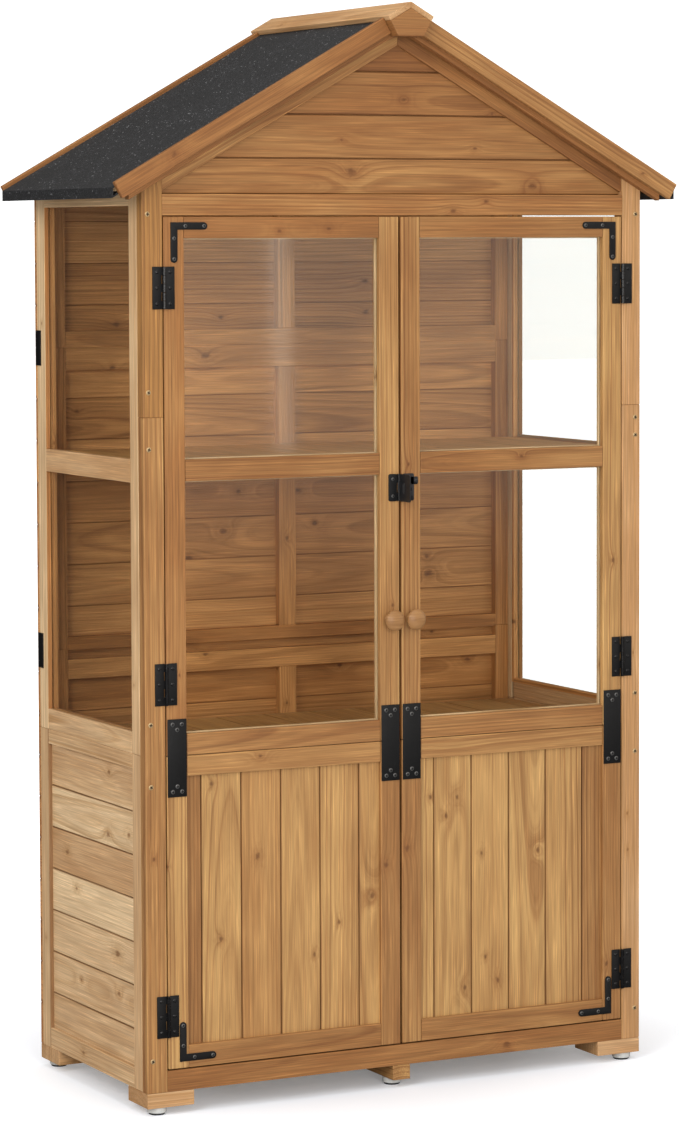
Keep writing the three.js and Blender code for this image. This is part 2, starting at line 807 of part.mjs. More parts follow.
// Hasp, about its pin: the fixed plate lies to the left and the strap stands out towards the front
const haspPinY = -haspKnuckleRadius - runningGap;
const haspHalf = haspHeight / 2;
const haspSpans = (odd) => knuckleSpans(haspHeight, haspKnuckleCount, odd);

function haspPlate() {
  const edge = -haspKnuckleRadius - runningGap;
  const plate = roundedRectangle([-haspPlateWidth, edge], [-haspHalf, haspHalf], haspCorner);
  const middle = (edge - haspPlateWidth) / 2;
  plate.holes = screwHoles([
    [middle, haspHalf - plateScrewInset],
    [middle, plateScrewInset - haspHalf],
  ]);
  const plateY = [-hingeLeafThickness, 0];
  const tabs = haspSpans(false).map((span) => box([edge - overrun * 2, 0], plateY, span));
  const barrels = knuckles(haspKnuckleRadius, haspPinY, haspSpans(false));
  const pin = knuckles(haspPinRadius, haspPinY, [[-haspHalf + seatGap, haspHalf - seatGap]]);
  return fuse(extrude('y', plate, plateY), ...tabs, ...barrels, ...pin);
}

function haspStrap() {
  const inner = haspPinY - haspKnuckleRadius - runningGap;
  const outer = haspPinY - strapLength;
  const sheet = roundedRectangle([outer, inner], [-haspHalf, haspHalf], haspCorner);
  const slotY = [haspPinY - slotOuter, haspPinY - slotInner];
  sheet.holes = [roundedRectangle(slotY, [-slotHeight / 2, slotHeight / 2], haspCorner)];
  const sheetX = [-ironThickness / 2, ironThickness / 2];
  const [span] = haspSpans(true);
  const boreRadius = haspPinRadius + boreGap;
  const tabY = [inner - overrun * 2, haspPinY - (boreRadius + haspKnuckleRadius) / 2];
  const [ring] = knuckles(haspKnuckleRadius, haspPinY, [span], boreRadius);
  return fuse(extrude('x', sheet, sheetX), box(sheetX, tabY, span), ring);
}

// The staple's plate with a screw ear, and a bar bent to stand out from it
function haspStaple() {
  const plate = roundedRectangle(
    [-staplePlateWidth / 2, staplePlateWidth / 2],
    [-haspHalf, haspHalf],
    haspCorner,
  );
  const earTop = haspHalf - stapleEarDrop;
  const earX = [0, staplePlateWidth / 2 + stapleEarWidth];
  const ear = roundedRectangle(earX, [earTop - stapleEarHeight, earTop], haspCorner);
  const plateY = [-staplePlateThickness, 0];
  const crown = -stapleReach + stapleOuterRadius;
  const foot = -staplePlateThickness / 2;
  const bar = new THREE.Shape();
  bar.moveTo(foot, stapleOuterRadius);
  bar.absarc(crown, 0, stapleOuterRadius, 0.5 * Math.PI, 1.5 * Math.PI);
  bar.lineTo(foot, -stapleOuterRadius);
  bar.lineTo(foot, stapleBar - stapleOuterRadius);
  bar.absarc(crown, 0, stapleOuterRadius - stapleBar, 1.5 * Math.PI, 0.5 * Math.PI, true);
  bar.lineTo(foot, stapleOuterRadius - stapleBar);
  return fuse(
    extrude('y', plate, plateY),
    extrude('y', ear, plateY),
    extrude('x', bar, [-stapleWidth / 2, stapleWidth / 2]),
  );
}

// Assembly: every piece is a named mesh with a material of its own, in the group of the body it belongs to
const greenhouse = new THREE.Group();
const carcass = new THREE.Group();
const leftDoor = new THREE.Group();
const rightDoor = new THREE.Group();
const haspSwing = new THREE.Group();
greenhouse.add(carcass, leftDoor, rightDoor);
leftDoor.add(haspSwing);

function add(group, name, geometry, material) {
  const mesh = new THREE.Mesh(geometry, material.clone());
  mesh.name = name;
  group.add(mesh);
  return mesh;
}

// Pieces that both sides have are drawn for the right and mirrored for the left
const sides = [
  { side: 'left', mirror: -1, door: leftDoor },
  { side: 'right', mirror: 1, door: rightDoor },
];

const frontFoot = footBlock([0, footDepth], glideInsetY);
const backFoot = footBlock([cabinetDepth - footDepth, cabinetDepth], cabinetDepth - glideInsetY);
const carcassPieces = [
  ['foot_front', frontFoot, wood],
  ['foot_back', backFoot, wood],
  ['post_lower', lowerPost(), wood],
  ['post_upper', upperPost(), wood],
  ['side_panel_lower', sidePanel(), paleWood],
  ['side_frame_upper', sideFrame(), paleWood],
  ['side_pane', sidePane(), clearSheet],
  ['roof_deck', roofDeck(), wood],
  ['barge_board_front', bargeBoard([bargeFront, -frontOverhang]), paleWood],
  ['barge_board_back', bargeBoard([cabinetDepth, bargeBack]), paleWood],
];

for (const { side, mirror } of sides) {
  for (const [name, geometry, material] of carcassPieces) {
    add(carcass, `${name}_${side}`, geometry, material).scale.x = mirror;
  }
}

add(carcass, 'foot_beam_centre', footBeam(), wood);
add(carcass, 'rail_front_bottom', frontRail(), wood);
add(carcass, 'rail_front_top', lintel(), wood);
add(carcass, 'gable_front', frontGable(), redWood);
add(carcass, 'back_panel_lower', lowerBack(), redWood);
add(carcass, 'back_panel_middle', middleBack(), redWood);
add(carcass, 'back_panel_upper', upperBack(), redWood);
add(carcass, 'floor_boards', cabinetFloor(), redWood);
add(carcass, 'shelf_lower', shelf(lowerShelfTop), redWood);
add(carcass, 'shelf_middle', shelf(midShelfTop), redWood);
add(carcass, 'roof_felt', feltSheet(), roofFelt);
add(carcass, 'ridge_cap', ridgeCap(), paleWood);

// Doors with their hinges, joining plates and knobs
const hingeX = postInner - doorGap / 2;
const stileCentres = {
  hinge_side: doorHingeEdge - stileWidth / 2,
  meeting_side: doorMeetingEdge + stileWidth / 2,
};
const hingeHeights = {
  upper: doorTop - upperHingeDrop,
  middle: doorJoint + middleHingeRise,
  lower: doorBottom + lowerHingeRise,
};

for (const { side, mirror, door } of sides) {
  add(door, `door_${side}_frame_upper`, doorWindowFrame(), wood).scale.x = mirror;
  add(door, `door_${side}_pane`, doorPane(), clearSheet).scale.x = mirror;
  add(door, `door_${side}_panel_lower`, doorPanel(mirror < 0), wood).scale.x = mirror;
  const handle = add(door, `door_${side}_knob`, knob(), turnedWood);
  handle.position.set(mirror * stileCentres.meeting_side, 0, doorJoint + knobRise);
  for (const [place, x] of Object.entries(stileCentres)) {
    const plate = add(door, `door_${side}_plate_${place}`, joiningPlate(), blackIron);
    plate.position.set(mirror * x, 0, doorJoint - joiningPlateDrop);
  }
  for (const [place, z] of Object.entries(hingeHeights)) {
    const postLeaf = add(carcass, `hinge_${side}_${place}_post_leaf`, hingeLeaf(true), blackIron);
    const doorLeaf = add(door, `hinge_${side}_${place}_door_leaf`, hingeLeaf(false), blackIron);
    for (const leaf of [postLeaf, doorLeaf]) {
      leaf.position.set(mirror * hingeX, 0, z);
      leaf.scale.x = mirror;
    }
  }
}

// Hasp across the meeting stiles: the staple stands where the middle of the closed strap's slot comes
const haspPinX = -doorMeetingEdge - haspPinInset;
const haspZ = doorJoint + haspRise;
const stapleX = haspPinX + (slotInner + slotOuter) / 2;
add(leftDoor, 'hasp_plate', haspPlate(), blackIron).position.set(haspPinX, 0, haspZ);
add(haspSwing, 'hasp_strap', haspStrap(), blackIron).position.set(haspPinX, 0, haspZ);
add(rightDoor, 'hasp_staple', haspStaple(), blackIron).position.set(stapleX, 0, haspZ);

// The origin is under the middle of the whole cabinet, at the height of the glides' undersides
greenhouse.position.set(0, -(capFront + capBack) / 2, glideCollarHeight + glideBaseHeight);

export default greenhouse;
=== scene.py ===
# %% [markdown]
# A wooden mini greenhouse: a gabled cabinet of stained fir on foot blocks, glazed above and boarded
# below, with two hinged doors, three levels inside and a felted roof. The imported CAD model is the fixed
# frame. Every board, hinge and pane below is placed on it, so nothing has to be fitted by eye.

import math
import random

import bmesh
import bpy
from mathutils import Matrix, Quaternion, Vector


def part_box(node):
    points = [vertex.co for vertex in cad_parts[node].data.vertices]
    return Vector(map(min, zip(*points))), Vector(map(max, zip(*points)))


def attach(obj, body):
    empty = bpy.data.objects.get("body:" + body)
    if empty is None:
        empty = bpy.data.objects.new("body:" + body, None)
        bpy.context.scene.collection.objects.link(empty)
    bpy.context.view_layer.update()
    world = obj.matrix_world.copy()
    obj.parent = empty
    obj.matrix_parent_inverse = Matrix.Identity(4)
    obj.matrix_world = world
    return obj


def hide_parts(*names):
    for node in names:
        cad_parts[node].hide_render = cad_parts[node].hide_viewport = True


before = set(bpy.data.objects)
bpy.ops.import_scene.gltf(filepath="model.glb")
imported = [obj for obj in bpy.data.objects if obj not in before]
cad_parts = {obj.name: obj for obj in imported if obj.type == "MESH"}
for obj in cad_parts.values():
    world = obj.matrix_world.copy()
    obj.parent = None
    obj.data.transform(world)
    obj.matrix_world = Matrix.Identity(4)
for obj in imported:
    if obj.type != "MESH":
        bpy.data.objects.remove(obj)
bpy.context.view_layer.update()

# %% [markdown]
# A joiner measures a cabinet from its own corner, in millimetres: across from the middle, back from the
# face of the posts, and up from the underside of the foot blocks. Blender works in metres round the
# frame's origin. One conversion lets every later cell keep to the joiner's numbers.

# %% The cabinet's own corner
MM = 0.001
GLIDE_HEIGHT = 12
CORNER = Vector((0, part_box("post_lower_left")[0].y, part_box("foot_front_left")[0].z + GLIDE_HEIGHT * MM))
HALF = 430
DEPTH = 412
SIDES = {"left": -1, "right": 1}


def place(x, y, z):
    """A point of the cabinet, in millimetres, as a point of the frame."""
    return CORNER + Vector((x, y, z)) * MM


print("cabinet corner in the frame:", tuple(round(c, 4) for c in CORNER))

# %% [markdown]
# The photograph was taken from the left of the cabinet and a little under its middle height, with a
# lens long enough that the uprights stay almost parallel. The camera's place and turn were worked out
# from the cabinet's corners. The picture was cropped from a larger frame, so its centre lies below the
# lens axis, and a small shift says so.

# %% Camera
PICTURE_HEIGHT = 1127
AXIS_BELOW_CENTRE = -93.5
FOCAL_PIXELS = 3758.667
CAMERA_PLACE = (-2702.2, -5066.9, 1296.3)
CAMERA_YAW = math.radians(27.145)
CAMERA_PITCH = math.radians(-3.506)
CAMERA_ROLL = math.radians(-0.209)


def add_to_scene(name, data):
    """A new object of the scene."""
    made = bpy.data.objects.new(name, data)
    bpy.context.scene.collection.objects.link(made)
    return made


camera_data = bpy.data.cameras.new("camera")
camera_data.sensor_width = 36
camera_data.lens = FOCAL_PIXELS * camera_data.sensor_width / PICTURE_HEIGHT
camera_data.shift_y = AXIS_BELOW_CENTRE / PICTURE_HEIGHT
camera = add_to_scene("camera", camera_data)
turn = Matrix.Rotation(-CAMERA_YAW, 4, "Z") @ Matrix.Rotation(math.pi / 2 + CAMERA_PITCH, 4, "X")
turn = turn @ Matrix.Rotation(CAMERA_ROLL, 4, "Z")
camera.matrix_world = Matrix.Translation(place(*CAMERA_PLACE)) @ turn
bpy.context.scene.camera = camera
print("lens", round(camera_data.lens, 1), "mm, shift", round(camera_data.shift_y, 3))

# %% [markdown]
# Materials are mixed from nodes. A colour is written as it looks on a screen and turned to the linear
# value that the renderer adds up. A recipe has one function that adds a node, sets it and links it, and
# short names for the nodes that every finish needs, so that a material reads as what it is made of.

# %% Recipes for materials


def linear(code):
    """A colour written as on a screen, as the linear red, green, blue and alpha."""
    channels = [int(code[i : i + 2], 16) / 255 for i in (1, 3, 5)]
    return [c / 12.92 if c <= 0.04045 else ((c + 0.055) / 1.055) ** 2.4 for c in channels] + [1.0]


class Recipe:
    """The nodes of a material or a world in the making. Its methods give sockets to feed on."""

    def __init__(self, owner):
        owner.use_nodes = True
        self.owner = owner
        self.tree = owner.node_tree
        self.tree.nodes.clear()

    def node(self, kind, feeds, **settings):
        """Adds a node. Feeds fill its inputs by name or number, with values or sockets."""
        made = self.tree.nodes.new("ShaderNode" + kind)
        for key, value in settings.items():
            setattr(made, key, value)
        for key, value in feeds.items():
            if isinstance(value, bpy.types.NodeSocket):
                self.tree.links.new(value, made.inputs[key])
            else:
                made.inputs[key].default_value = value
        return made.outputs

    def math(self, operation, *values, clamp=False):
        """A sum with numbers."""
        return self.node("Math", dict(enumerate(values)), operation=operation, use_clamp=clamp)[0]

    def vector(self, operation, *values):
        """A sum with vectors."""
        return self.node("VectorMath", dict(enumerate(values)), operation=operation)[0]

    def scale(self, vector, factor):
        """A vector or colour times a number."""
        return self.node("VectorMath", {0: vector, "Scale": factor}, operation="SCALE")[0]

    def length(self, vector):
        """The length of a vector."""
        return self.node("VectorMath", {0: vector}, operation="LENGTH")["Value"]

    def split(self, vector):
        """The X, Y and Z of a vector."""
        return self.node("SeparateXYZ", {0: vector})

    def joined(self, x=0.0, y=0.0, z=0.0):
        """A vector from its three parts."""
        return self.node("CombineXYZ", {0: x, 1: y, 2: z})[0]

    def attribute(self, name):
        """What the vertices carry under a name."""
        return self.node("Attribute", {}, attribute_name=name)["Vector"]

    def spot(self):
        """The place on the object."""
        return self.node("TexCoord", {})["Object"]

    def noise(self, spot, scale=1.0, detail=2.0, roughness=0.5, w=None, dimensions="3D"):
        """Cloudy noise from 0 to 1, at a spot, at a number w, or at both."""
        feeds = {"Vector": spot, "W": w, "Scale": scale, "Detail": detail, "Roughness": roughness}
        feeds = {key: value for key, value in feeds.items() if value is not None}
        return self.node("TexNoise", feeds, noise_dimensions=dimensions)[0]

    def fade(self, value, low, high, start, end, smooth=False):
        """Start where the value is low, end where it is high, and between them a slope."""
        feeds = dict(enumerate((value, low, high, start, end)))
        return self.node("MapRange", feeds, interpolation_type="SMOOTHSTEP" if smooth else "LINEAR")[0]

    def blend(self, share, first, second):
        """From the first colour to the second."""
        return self.node("Mix", {0: share, 6: first, 7: second}, data_type="RGBA")[2]

    def ramp(self, value, *stops):
        """A colour for each value, from (value, colour) stops in rising order."""
        made = self.node("ValToRGB", {0: value})[0]
        elements = made.node.color_ramp.elements
        for element, stop in zip(elements, (stops[0], stops[-1])):
            element.position, element.color = stop
        for position, colour in stops[1:-1]:
            elements.new(position).color = colour
        return made

    def skin(self, colour, gloss, relief=None, strength=0.3, height=0.1, **more):
        """An opaque surface. Relief is felt at a strength and a height in millimetres."""
        feeds = {"Base Color": colour, "Roughness": gloss}
        if relief:
            bump = {"Strength": strength, "Distance": height * MM, "Height": relief}
            feeds["Normal"] = self.node("Bump", bump)[0]
        feeds.update({key.replace("_", " "): value for key, value in more.items()})
        return self.node("BsdfPrincipled", feeds)[0]

    def finish(self, shader, output="OutputMaterial"):
        """Sends a shader to the output and gives the material."""
        self.node(output, {"Surface": shader})
        return self.owner


def recipe(name):
    """A recipe for a new material."""
    return Recipe(bpy.data.materials.new(name))


print("colour #808080 is", round(linear("#808080")[0], 3), "to the renderer")

# %% [markdown]
# Stained fir. A board is a slice of a trunk, so its figure is a slice through growth rings: straight
# lines where the saw passed far from the heart, tall arches where it passed near it. Painting lines on
# each face would break at every corner. Instead, each board carries its own place in a trunk, and the
# material measures the distance to the heart there. The same rings then run over the faces, round the
# edges and across the end grain. A knot is a branch that crosses the board: the rings swerve round it.

# %% Growth rings and knots
KNOTS_PER_BOARD = 4
KNOT_SHAPE = (0.65, 1, 0)
NO_KNOT = 0.01 * MM
RING_WANDER = 14 * MM
STREAKS = 420.0
YEAR = [(at, (v, v, v, 1)) for at, v in ((0.0, 0), (0.5, 0.16), (0.82, 0.9), (0.93, 1.0), (1.0, 0))]


def distance_to_heart(mix, grain, seed, cut):
    """How far a point is from the heart of its trunk, which wanders slowly along the board."""
    slow = mix.vector("MULTIPLY_ADD", grain, (2.0, 7.0, 7.0), seed)
    # A noise's colour is three noises at once, one for each direction
    wander = mix.noise(slow).node.outputs["Color"]
    half_way = -RING_WANDER / 2
    swing = mix.vector("MULTIPLY_ADD", wander, (0, RING_WANDER, RING_WANDER), (0, half_way, half_way))
    along = mix.split(grain)["X"]
    from_heart = mix.vector("SUBTRACT", grain, mix.joined(along, cut["X"], cut["Y"]))
    rise = mix.joined(z=mix.math("MULTIPLY", along, mix.split(seed)["Z"]))
    return mix.length(mix.vector("ADD", mix.vector("ADD", from_heart, swing), rise))


def knotted(mix, grain, seed, radius):
    """Knots push the rings aside. Gives the new distance, the knots' cores and the halos round them."""
    chips = mix.noise(mix.vector("MULTIPLY_ADD", grain, (130, 240, 240), seed))
    ragged = mix.fade(chips, 0.3, 0.7, 0.65, 1.45)
    core = halo = 0.0
    for i in range(KNOTS_PER_BOARD):
        knot = mix.attribute(f"knot_{i}")
        reach = mix.split(knot)["Z"]
        away = mix.length(mix.vector("MULTIPLY", mix.vector("SUBTRACT", grain, knot), KNOT_SHAPE))
        steps = mix.math("DIVIDE", away, mix.math("MAXIMUM", reach, NO_KNOT))
        push = mix.math("MULTIPLY", mix.math("EXPONENT", mix.math("MULTIPLY", steps, -0.5)), reach)
        radius = mix.math("MULTIPLY_ADD", push, 2.3, radius)
        steps = mix.math("MULTIPLY", steps, ragged)
        core = mix.math("MAXIMUM", core, mix.fade(steps, 0.2, 1.05, 0.72, 0, smooth=True))
        halo = mix.math("MAXIMUM", halo, mix.fade(steps, 0.9, 3.2, 1, 0, smooth=True))
    return radius, core, halo


def year_lines(mix, radius, seed, ring_width):
    """One ring a year: soft spring wood, then a line of dense summer wood that ends sharply."""
    rings = mix.math("DIVIDE", radius, ring_width)
    year = mix.ramp(mix.math("FRACT", rings), *YEAR)
    good_years = mix.noise(None, 0.7, 1.0, w=rings, dimensions="1D")
    streaks = mix.noise(seed, 1.0, 3.0, 0.62, w=mix.math("MULTIPLY", radius, STREAKS), dimensions="4D")
    streaks = mix.fade(streaks, 0.38, 0.68, 0, 0.52, smooth=True)
    return mix.math("ADD", mix.math("MULTIPLY", year, good_years), streaks)


# %% [markdown]
# The stain takes unevenly: cloudy patches, a redder cast on some boards, and hair-thin fibres that
# brush the colour and are felt as a slight relief. Arrises are painted a little lighter, a painted
# highlight with some rubbed stain, joints are painted darker, a painted shade in the V, and cut ends
# drink more of the stain.

# %% Stained fir
FIBRE = (80 * MM, 1.3 * MM)
BAND = (190 * MM, 2.5 * MM)


def drawn_out(mix, grain, seed, size, detail, roughness):
    """Noise drawn out along the grain, from the size (length, width) of its streaks."""
    length, width = size
    spot = mix.vector("MULTIPLY_ADD", grain, (1 / length, 1 / width, 1 / width), seed)
    return mix.noise(spot, detail=detail, roughness=roughness)


def edge_highlight_shade_and_ends(mix, grain):
    """Painted highlight on the arrises, painted shade in the joints, and darker stain on cut ends."""
    margin = mix.split(mix.vector("SUBTRACT", mix.attribute("size"), mix.vector("ABSOLUTE", grain)))
    edge = mix.split(mix.attribute("edge"))
    corner = mix.math("MAXIMUM", margin["Y"], margin["Z"])
    # Arrises are painted lighter, a painted highlight with some rubbed stain; joints are painted darker, a
    # painted shade in the V
    arris = mix.fade(corner, edge["Y"], edge["Z"], edge["X"], 1, smooth=True)
    # Cut ends are darker with the stain they drink
    wear_and_painted_light = mix.math("MULTIPLY", arris, mix.fade(margin["X"], 0.2 * MM, 0.9 * MM, 0.92, 1))
    return mix.joined(wear_and_painted_light, mix.math("POWER", wear_and_painted_light, 1.25), mix.math("POWER", wear_and_painted_light, 1.5))


def stained_fir(name, *codes):
    """Fir under a brown stain, from its pale and deep ends, the summer wood's lines and the knots."""
    pale, deep, late, knot = (linear(code) for code in codes)
    mix = recipe(name)
    grain, seed = mix.attribute("grain"), mix.attribute("seed")
    cut, tone = mix.split(mix.attribute("cut")), mix.split(mix.attribute("tone"))
    radius, core, halo = knotted(mix, grain, seed, distance_to_heart(mix, grain, seed, cut))
    drawn = mix.math("MULTIPLY", year_lines(mix, radius, seed, cut["Z"]), tone["Z"], clamp=True)
    cloud = mix.noise(mix.vector("MULTIPLY_ADD", grain, (5, 22, 22), seed))
    depth = mix.math("ADD", tone["X"], mix.fade(cloud, 0.3, 0.7, -0.22, 0.22), clamp=True)
    ground = mix.blend(tone["Y"], mix.blend(depth, pale, deep), late)
    lined = mix.blend(drawn, ground, mix.blend(tone["Y"], late, knot))
    haloed = mix.blend(mix.math("MULTIPLY", halo, 0.3), lined, late)
    colour = mix.vector("MULTIPLY", mix.blend(core, haloed, knot), edge_highlight_shade_and_ends(mix, grain))

    fibre = drawn_out(mix, grain, seed, FIBRE, 2.0, 0.6)
    brush = mix.fade(drawn_out(mix, grain, seed, BAND, 3.0, 0.7), 0.32, 0.68, 0.85, 1.13)
    brush = mix.math("MULTIPLY", brush, mix.fade(fibre, 0.28, 0.72, 0.8, 1.16))
    brush = mix.math("MULTIPLY", brush, mix.fade(fibre, 0.6, 0.7, 1, 1.22))
    brush = mix.math("MULTIPLY", brush, mix.fade(cloud, 0.3, 0.7, 1.06, 0.94))
    gloss = mix.fade(fibre, 0.3, 0.7, 0.5, 0.64)
    relief = mix.math("SUBTRACT", fibre, drawn)
    more = {"strength": 0.35, "height": 0.15, "IOR": 1.45, "Specular_IOR_Level": 0.35}
    return mix.finish(mix.skin(mix.scale(colour, brush), gloss, relief, **more))


golden_fir = stained_fir("golden stained fir", "#c9a064", "#9e6c3b", "#825129", "#5f381b")
pale_fir = stained_fir("pale stained fir", "#dcbd92", "#bb8d60", "#a5763f", "#7c4f2a")
red_fir = stained_fir("red-brown stained fir", "#d89e60", "#a56a34", "#8b5829", "#5c351c")
# A lighter copy of the stain: painted light on the middle shelf, which the lamps reach only at a grazing
# angle
fir_painted_light_for_shelf = stained_fir("stained fir painted lighter for the middle shelf", "#ebb56e", "#cf9658", "#a36c3a", "#6e4424")
print("wood:", ", ".join(fir.name for fir in (golden_fir, pale_fir, red_fir, fir_painted_light_for_shelf)))

# %% [markdown]
# Knots are where the photograph shows them, in millimetres on each wall, with their radius.

# %% Knots
KNOTS_ON_WALLS = {
    "front": [
        (-26, 337, 5), (11, 360, 5), (369, 147, 4), (187, 37, 6), (408, 327, 3.5), (407, 385, 3),
        (418, 641, 2.5), (-121, 1313, 4), (-204, 1310, 4), (94, 1340, 5), (151, 1355, 4), (-394, 363, 2.5),
    ],
    "door": [
        (-243, 366, 5), (-319, 482, 4), (-305, 246, 4), (-105, 254, 3.5), (-48, 290, 6), (102, 432, 4),
        (82, 404, 4.5), (145, 341, 3.5), (115, 132, 5), (152, 177, 3.5), (174, 139, 4.5),
    ],
    "gable": [
        (14, 1509, 4), (13, 1485, 4), (-93, 1447, 3), (-77, 1399, 8), (168, 1489, 3), (138, 1436, 3.5),
        (240, 1379, 6), (376, 1400, 4), (115, 1550, 5),
    ],
    "side": [
        (149, 489, 4.5), (154, 393, 6), (76, 403, 5), (313, 343, 6), (277, 291, 4.5), (121, 215, 8),
        (261, 150, 4), (117, 154, 5), (242, 40, 4), (388, 196, 3),
    ],
    "back": [
        (265, 771, 4), (269, 743, 7), (342, 595, 5), (274, 645, 3), (-81, 891, 5), (-108, 827, 6),
        (57, 834, 5), (-171, 786, 6), (26, 889, 5), (-149, 631, 4), (102, 598, 4), (-111, 1173, 5),
        (152, 1178, 6), (151, 1228, 6), (-145, 1112, 7), (-294, 1164, 6), (-308, 1096, 4), (-1, 813, 4),
    ],
}
print("knots listed:", sum(len(k) for k in KNOTS_ON_WALLS.values()))

# %% [markdown]
# Pieces. Everything is drawn in millimetres on a bench and moved to the frame when it becomes a piece,
# which rides on a body and stands for a CAD node. Round parts are a profile spun about an axis.

# %% Pieces
UP = Vector((0, 0, 1))
FRONT = Vector((0, -1, 0))


def join(bench, part, slot=0):
    """Adds a finished part to a bench, in one of its materials."""
    for face in part.faces:
        face.material_index = slot
    leaf = bpy.data.meshes.new("part")
    part.to_mesh(leaf)
    part.free()
    bench.from_mesh(leaf)
    bpy.data.meshes.remove(leaf)


def turned(bench, profile, centre, axis, steps, slot=0):
    """Spins a profile of (radius, distance along the axis) about an axis through a point."""
    part = bmesh.new()
    spare = axis.orthogonal().normalized()
    ring = [part.verts.new(centre + spare * r + axis * d) for r, d in profile]
    edges = [part.edges.new(pair) for pair in zip(ring, ring[1:])]
    bmesh.ops.spin(part, geom=ring + edges, cent=centre, axis=axis, angle=2 * math.pi, steps=steps,
                   use_merge=True)
    bmesh.ops.remove_doubles(part, verts=part.verts, dist=0.0005)
    bmesh.ops.recalc_face_normals(part, faces=part.faces)
    join(bench, part, slot)


def soften(shape, edges, ease):
    """Rounds edges in two steps."""
    bmesh.ops.bevel(shape, geom=edges, offset=ease, segments=2, profile=0.5, affect="EDGES", material=-1)


def extruded(shape, face, step):
    """Stretches a flat face into a solid."""
    made = bmesh.ops.extrude_face_region(shape, geom=[face])
    moved = [v for v in made["geom"] if isinstance(v, bmesh.types.BMVert)]
    bmesh.ops.translate(shape, vec=step, verts=moved)


def piece(name, bench, materials, body, slot, *nodes, smooth=0):
    """Turns a bench of geometry into a named piece that rides on a body and stands for CAD nodes."""
    for vertex in bench.verts:
        vertex.co = place(*vertex.co)
    mesh = bpy.data.meshes.new(name)
    bench.to_mesh(mesh)
    bench.free()
    for finish in materials:
        mesh.materials.append(finish)
    if smooth:
        mesh.shade_smooth()
        mesh.set_sharp_from_angle(angle=math.radians(smooth))
    made = add_to_scene(name, mesh)
    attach(made, body)
    if nodes:
        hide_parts(*nodes)


def dress(node_name, finish):
    """Gives a CAD node that stays in view its finish."""
    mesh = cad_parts[node_name].data
    mesh.materials.clear()
    mesh.materials.append(finish)


print("nodes to replace or dress:", len(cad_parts))

# %% [markdown]
# Boards. Each one starts as the outline of its section, which is stretched along the grain, trimmed by
# saw cuts and eased along its arrises, as a joiner does with a plane. The outline may hold a rebate.
# A board then gets its own place in a trunk and its own stain, from seeded dice, so that the script
# gives the same cabinet on every run. All boards of a panel are gathered into one piece. Boards of a
# left and a right side are both drawn for the right, and the left one is mirrored.

# %% Boards
EASE = 1.2
SHARPEST_ARRIS = math.radians(20)
# Painted light at an edge, a painted highlight at arrises and a painted shade in joints:
# its strength, and where it starts and ends
ARRIS_PAINTED_HIGHLIGHT = (1.1, 0.9 * MM, 2.2 * MM)
JOINT_PAINTED_SHADE = (0.55, 0.6 * MM, 1.7 * MM)
SOFT_JOINT_PAINTED_SHADE = (0.8, 0.5 * MM, 1.2 * MM)
SECTION_AXES = {"x": (1, 2), "y": (0, 2), "z": (0, 1)}
TONES = ((0.15, 0.75), (0, 0.25), (0.5, 0.85))
KNOT_SPACING = 900


def prism(grain, outline, span, cuts, lay, ease):
    """A section stretched along the grain, laid in place, trimmed and eased."""
    shape = bmesh.new()
    run = "xyz".index(grain)
    across, up = SECTION_AXES[grain]
    ring = []
    for first, second in outline:
        corner = [0, 0, 0]
        corner[run], corner[across], corner[up] = span[0], first, second
        ring.append(shape.verts.new(corner))
    step = [0, 0, 0]
    step[run] = span[1] - span[0]
    extruded(shape, shape.faces.new(ring), step)
    bmesh.ops.transform(shape, matrix=lay, verts=shape.verts)
    for point, outward in cuts:
        everything = shape.verts[:] + shape.edges[:] + shape.faces[:]
        sawn = bmesh.ops.bisect_plane(shape, geom=everything, dist=0.001, plane_co=point, plane_no=outward,
                                      clear_outer=True)
        rim = [e for e in sawn["geom_cut"] if isinstance(e, bmesh.types.BMEdge)]
        if rim:
            bmesh.ops.contextual_create(shape, geom=rim)
    bmesh.ops.recalc_face_normals(shape, faces=shape.faces)
    if ease:
        arrises = [e for e in shape.edges if e.calc_face_angle(0) > SHARPEST_ARRIS]
        bmesh.ops.bevel(shape, geom=arrises, offset=ease, offset_type="OFFSET", segments=2, profile=0.5,
                        affect="EDGES", material=-1, clamp_overlap=True)
    return shape


def sided(side, span):
    """A span drawn for the right-hand side, or its mirror image for the left."""
    return span if side > 0 else (-span[1], -span[0])


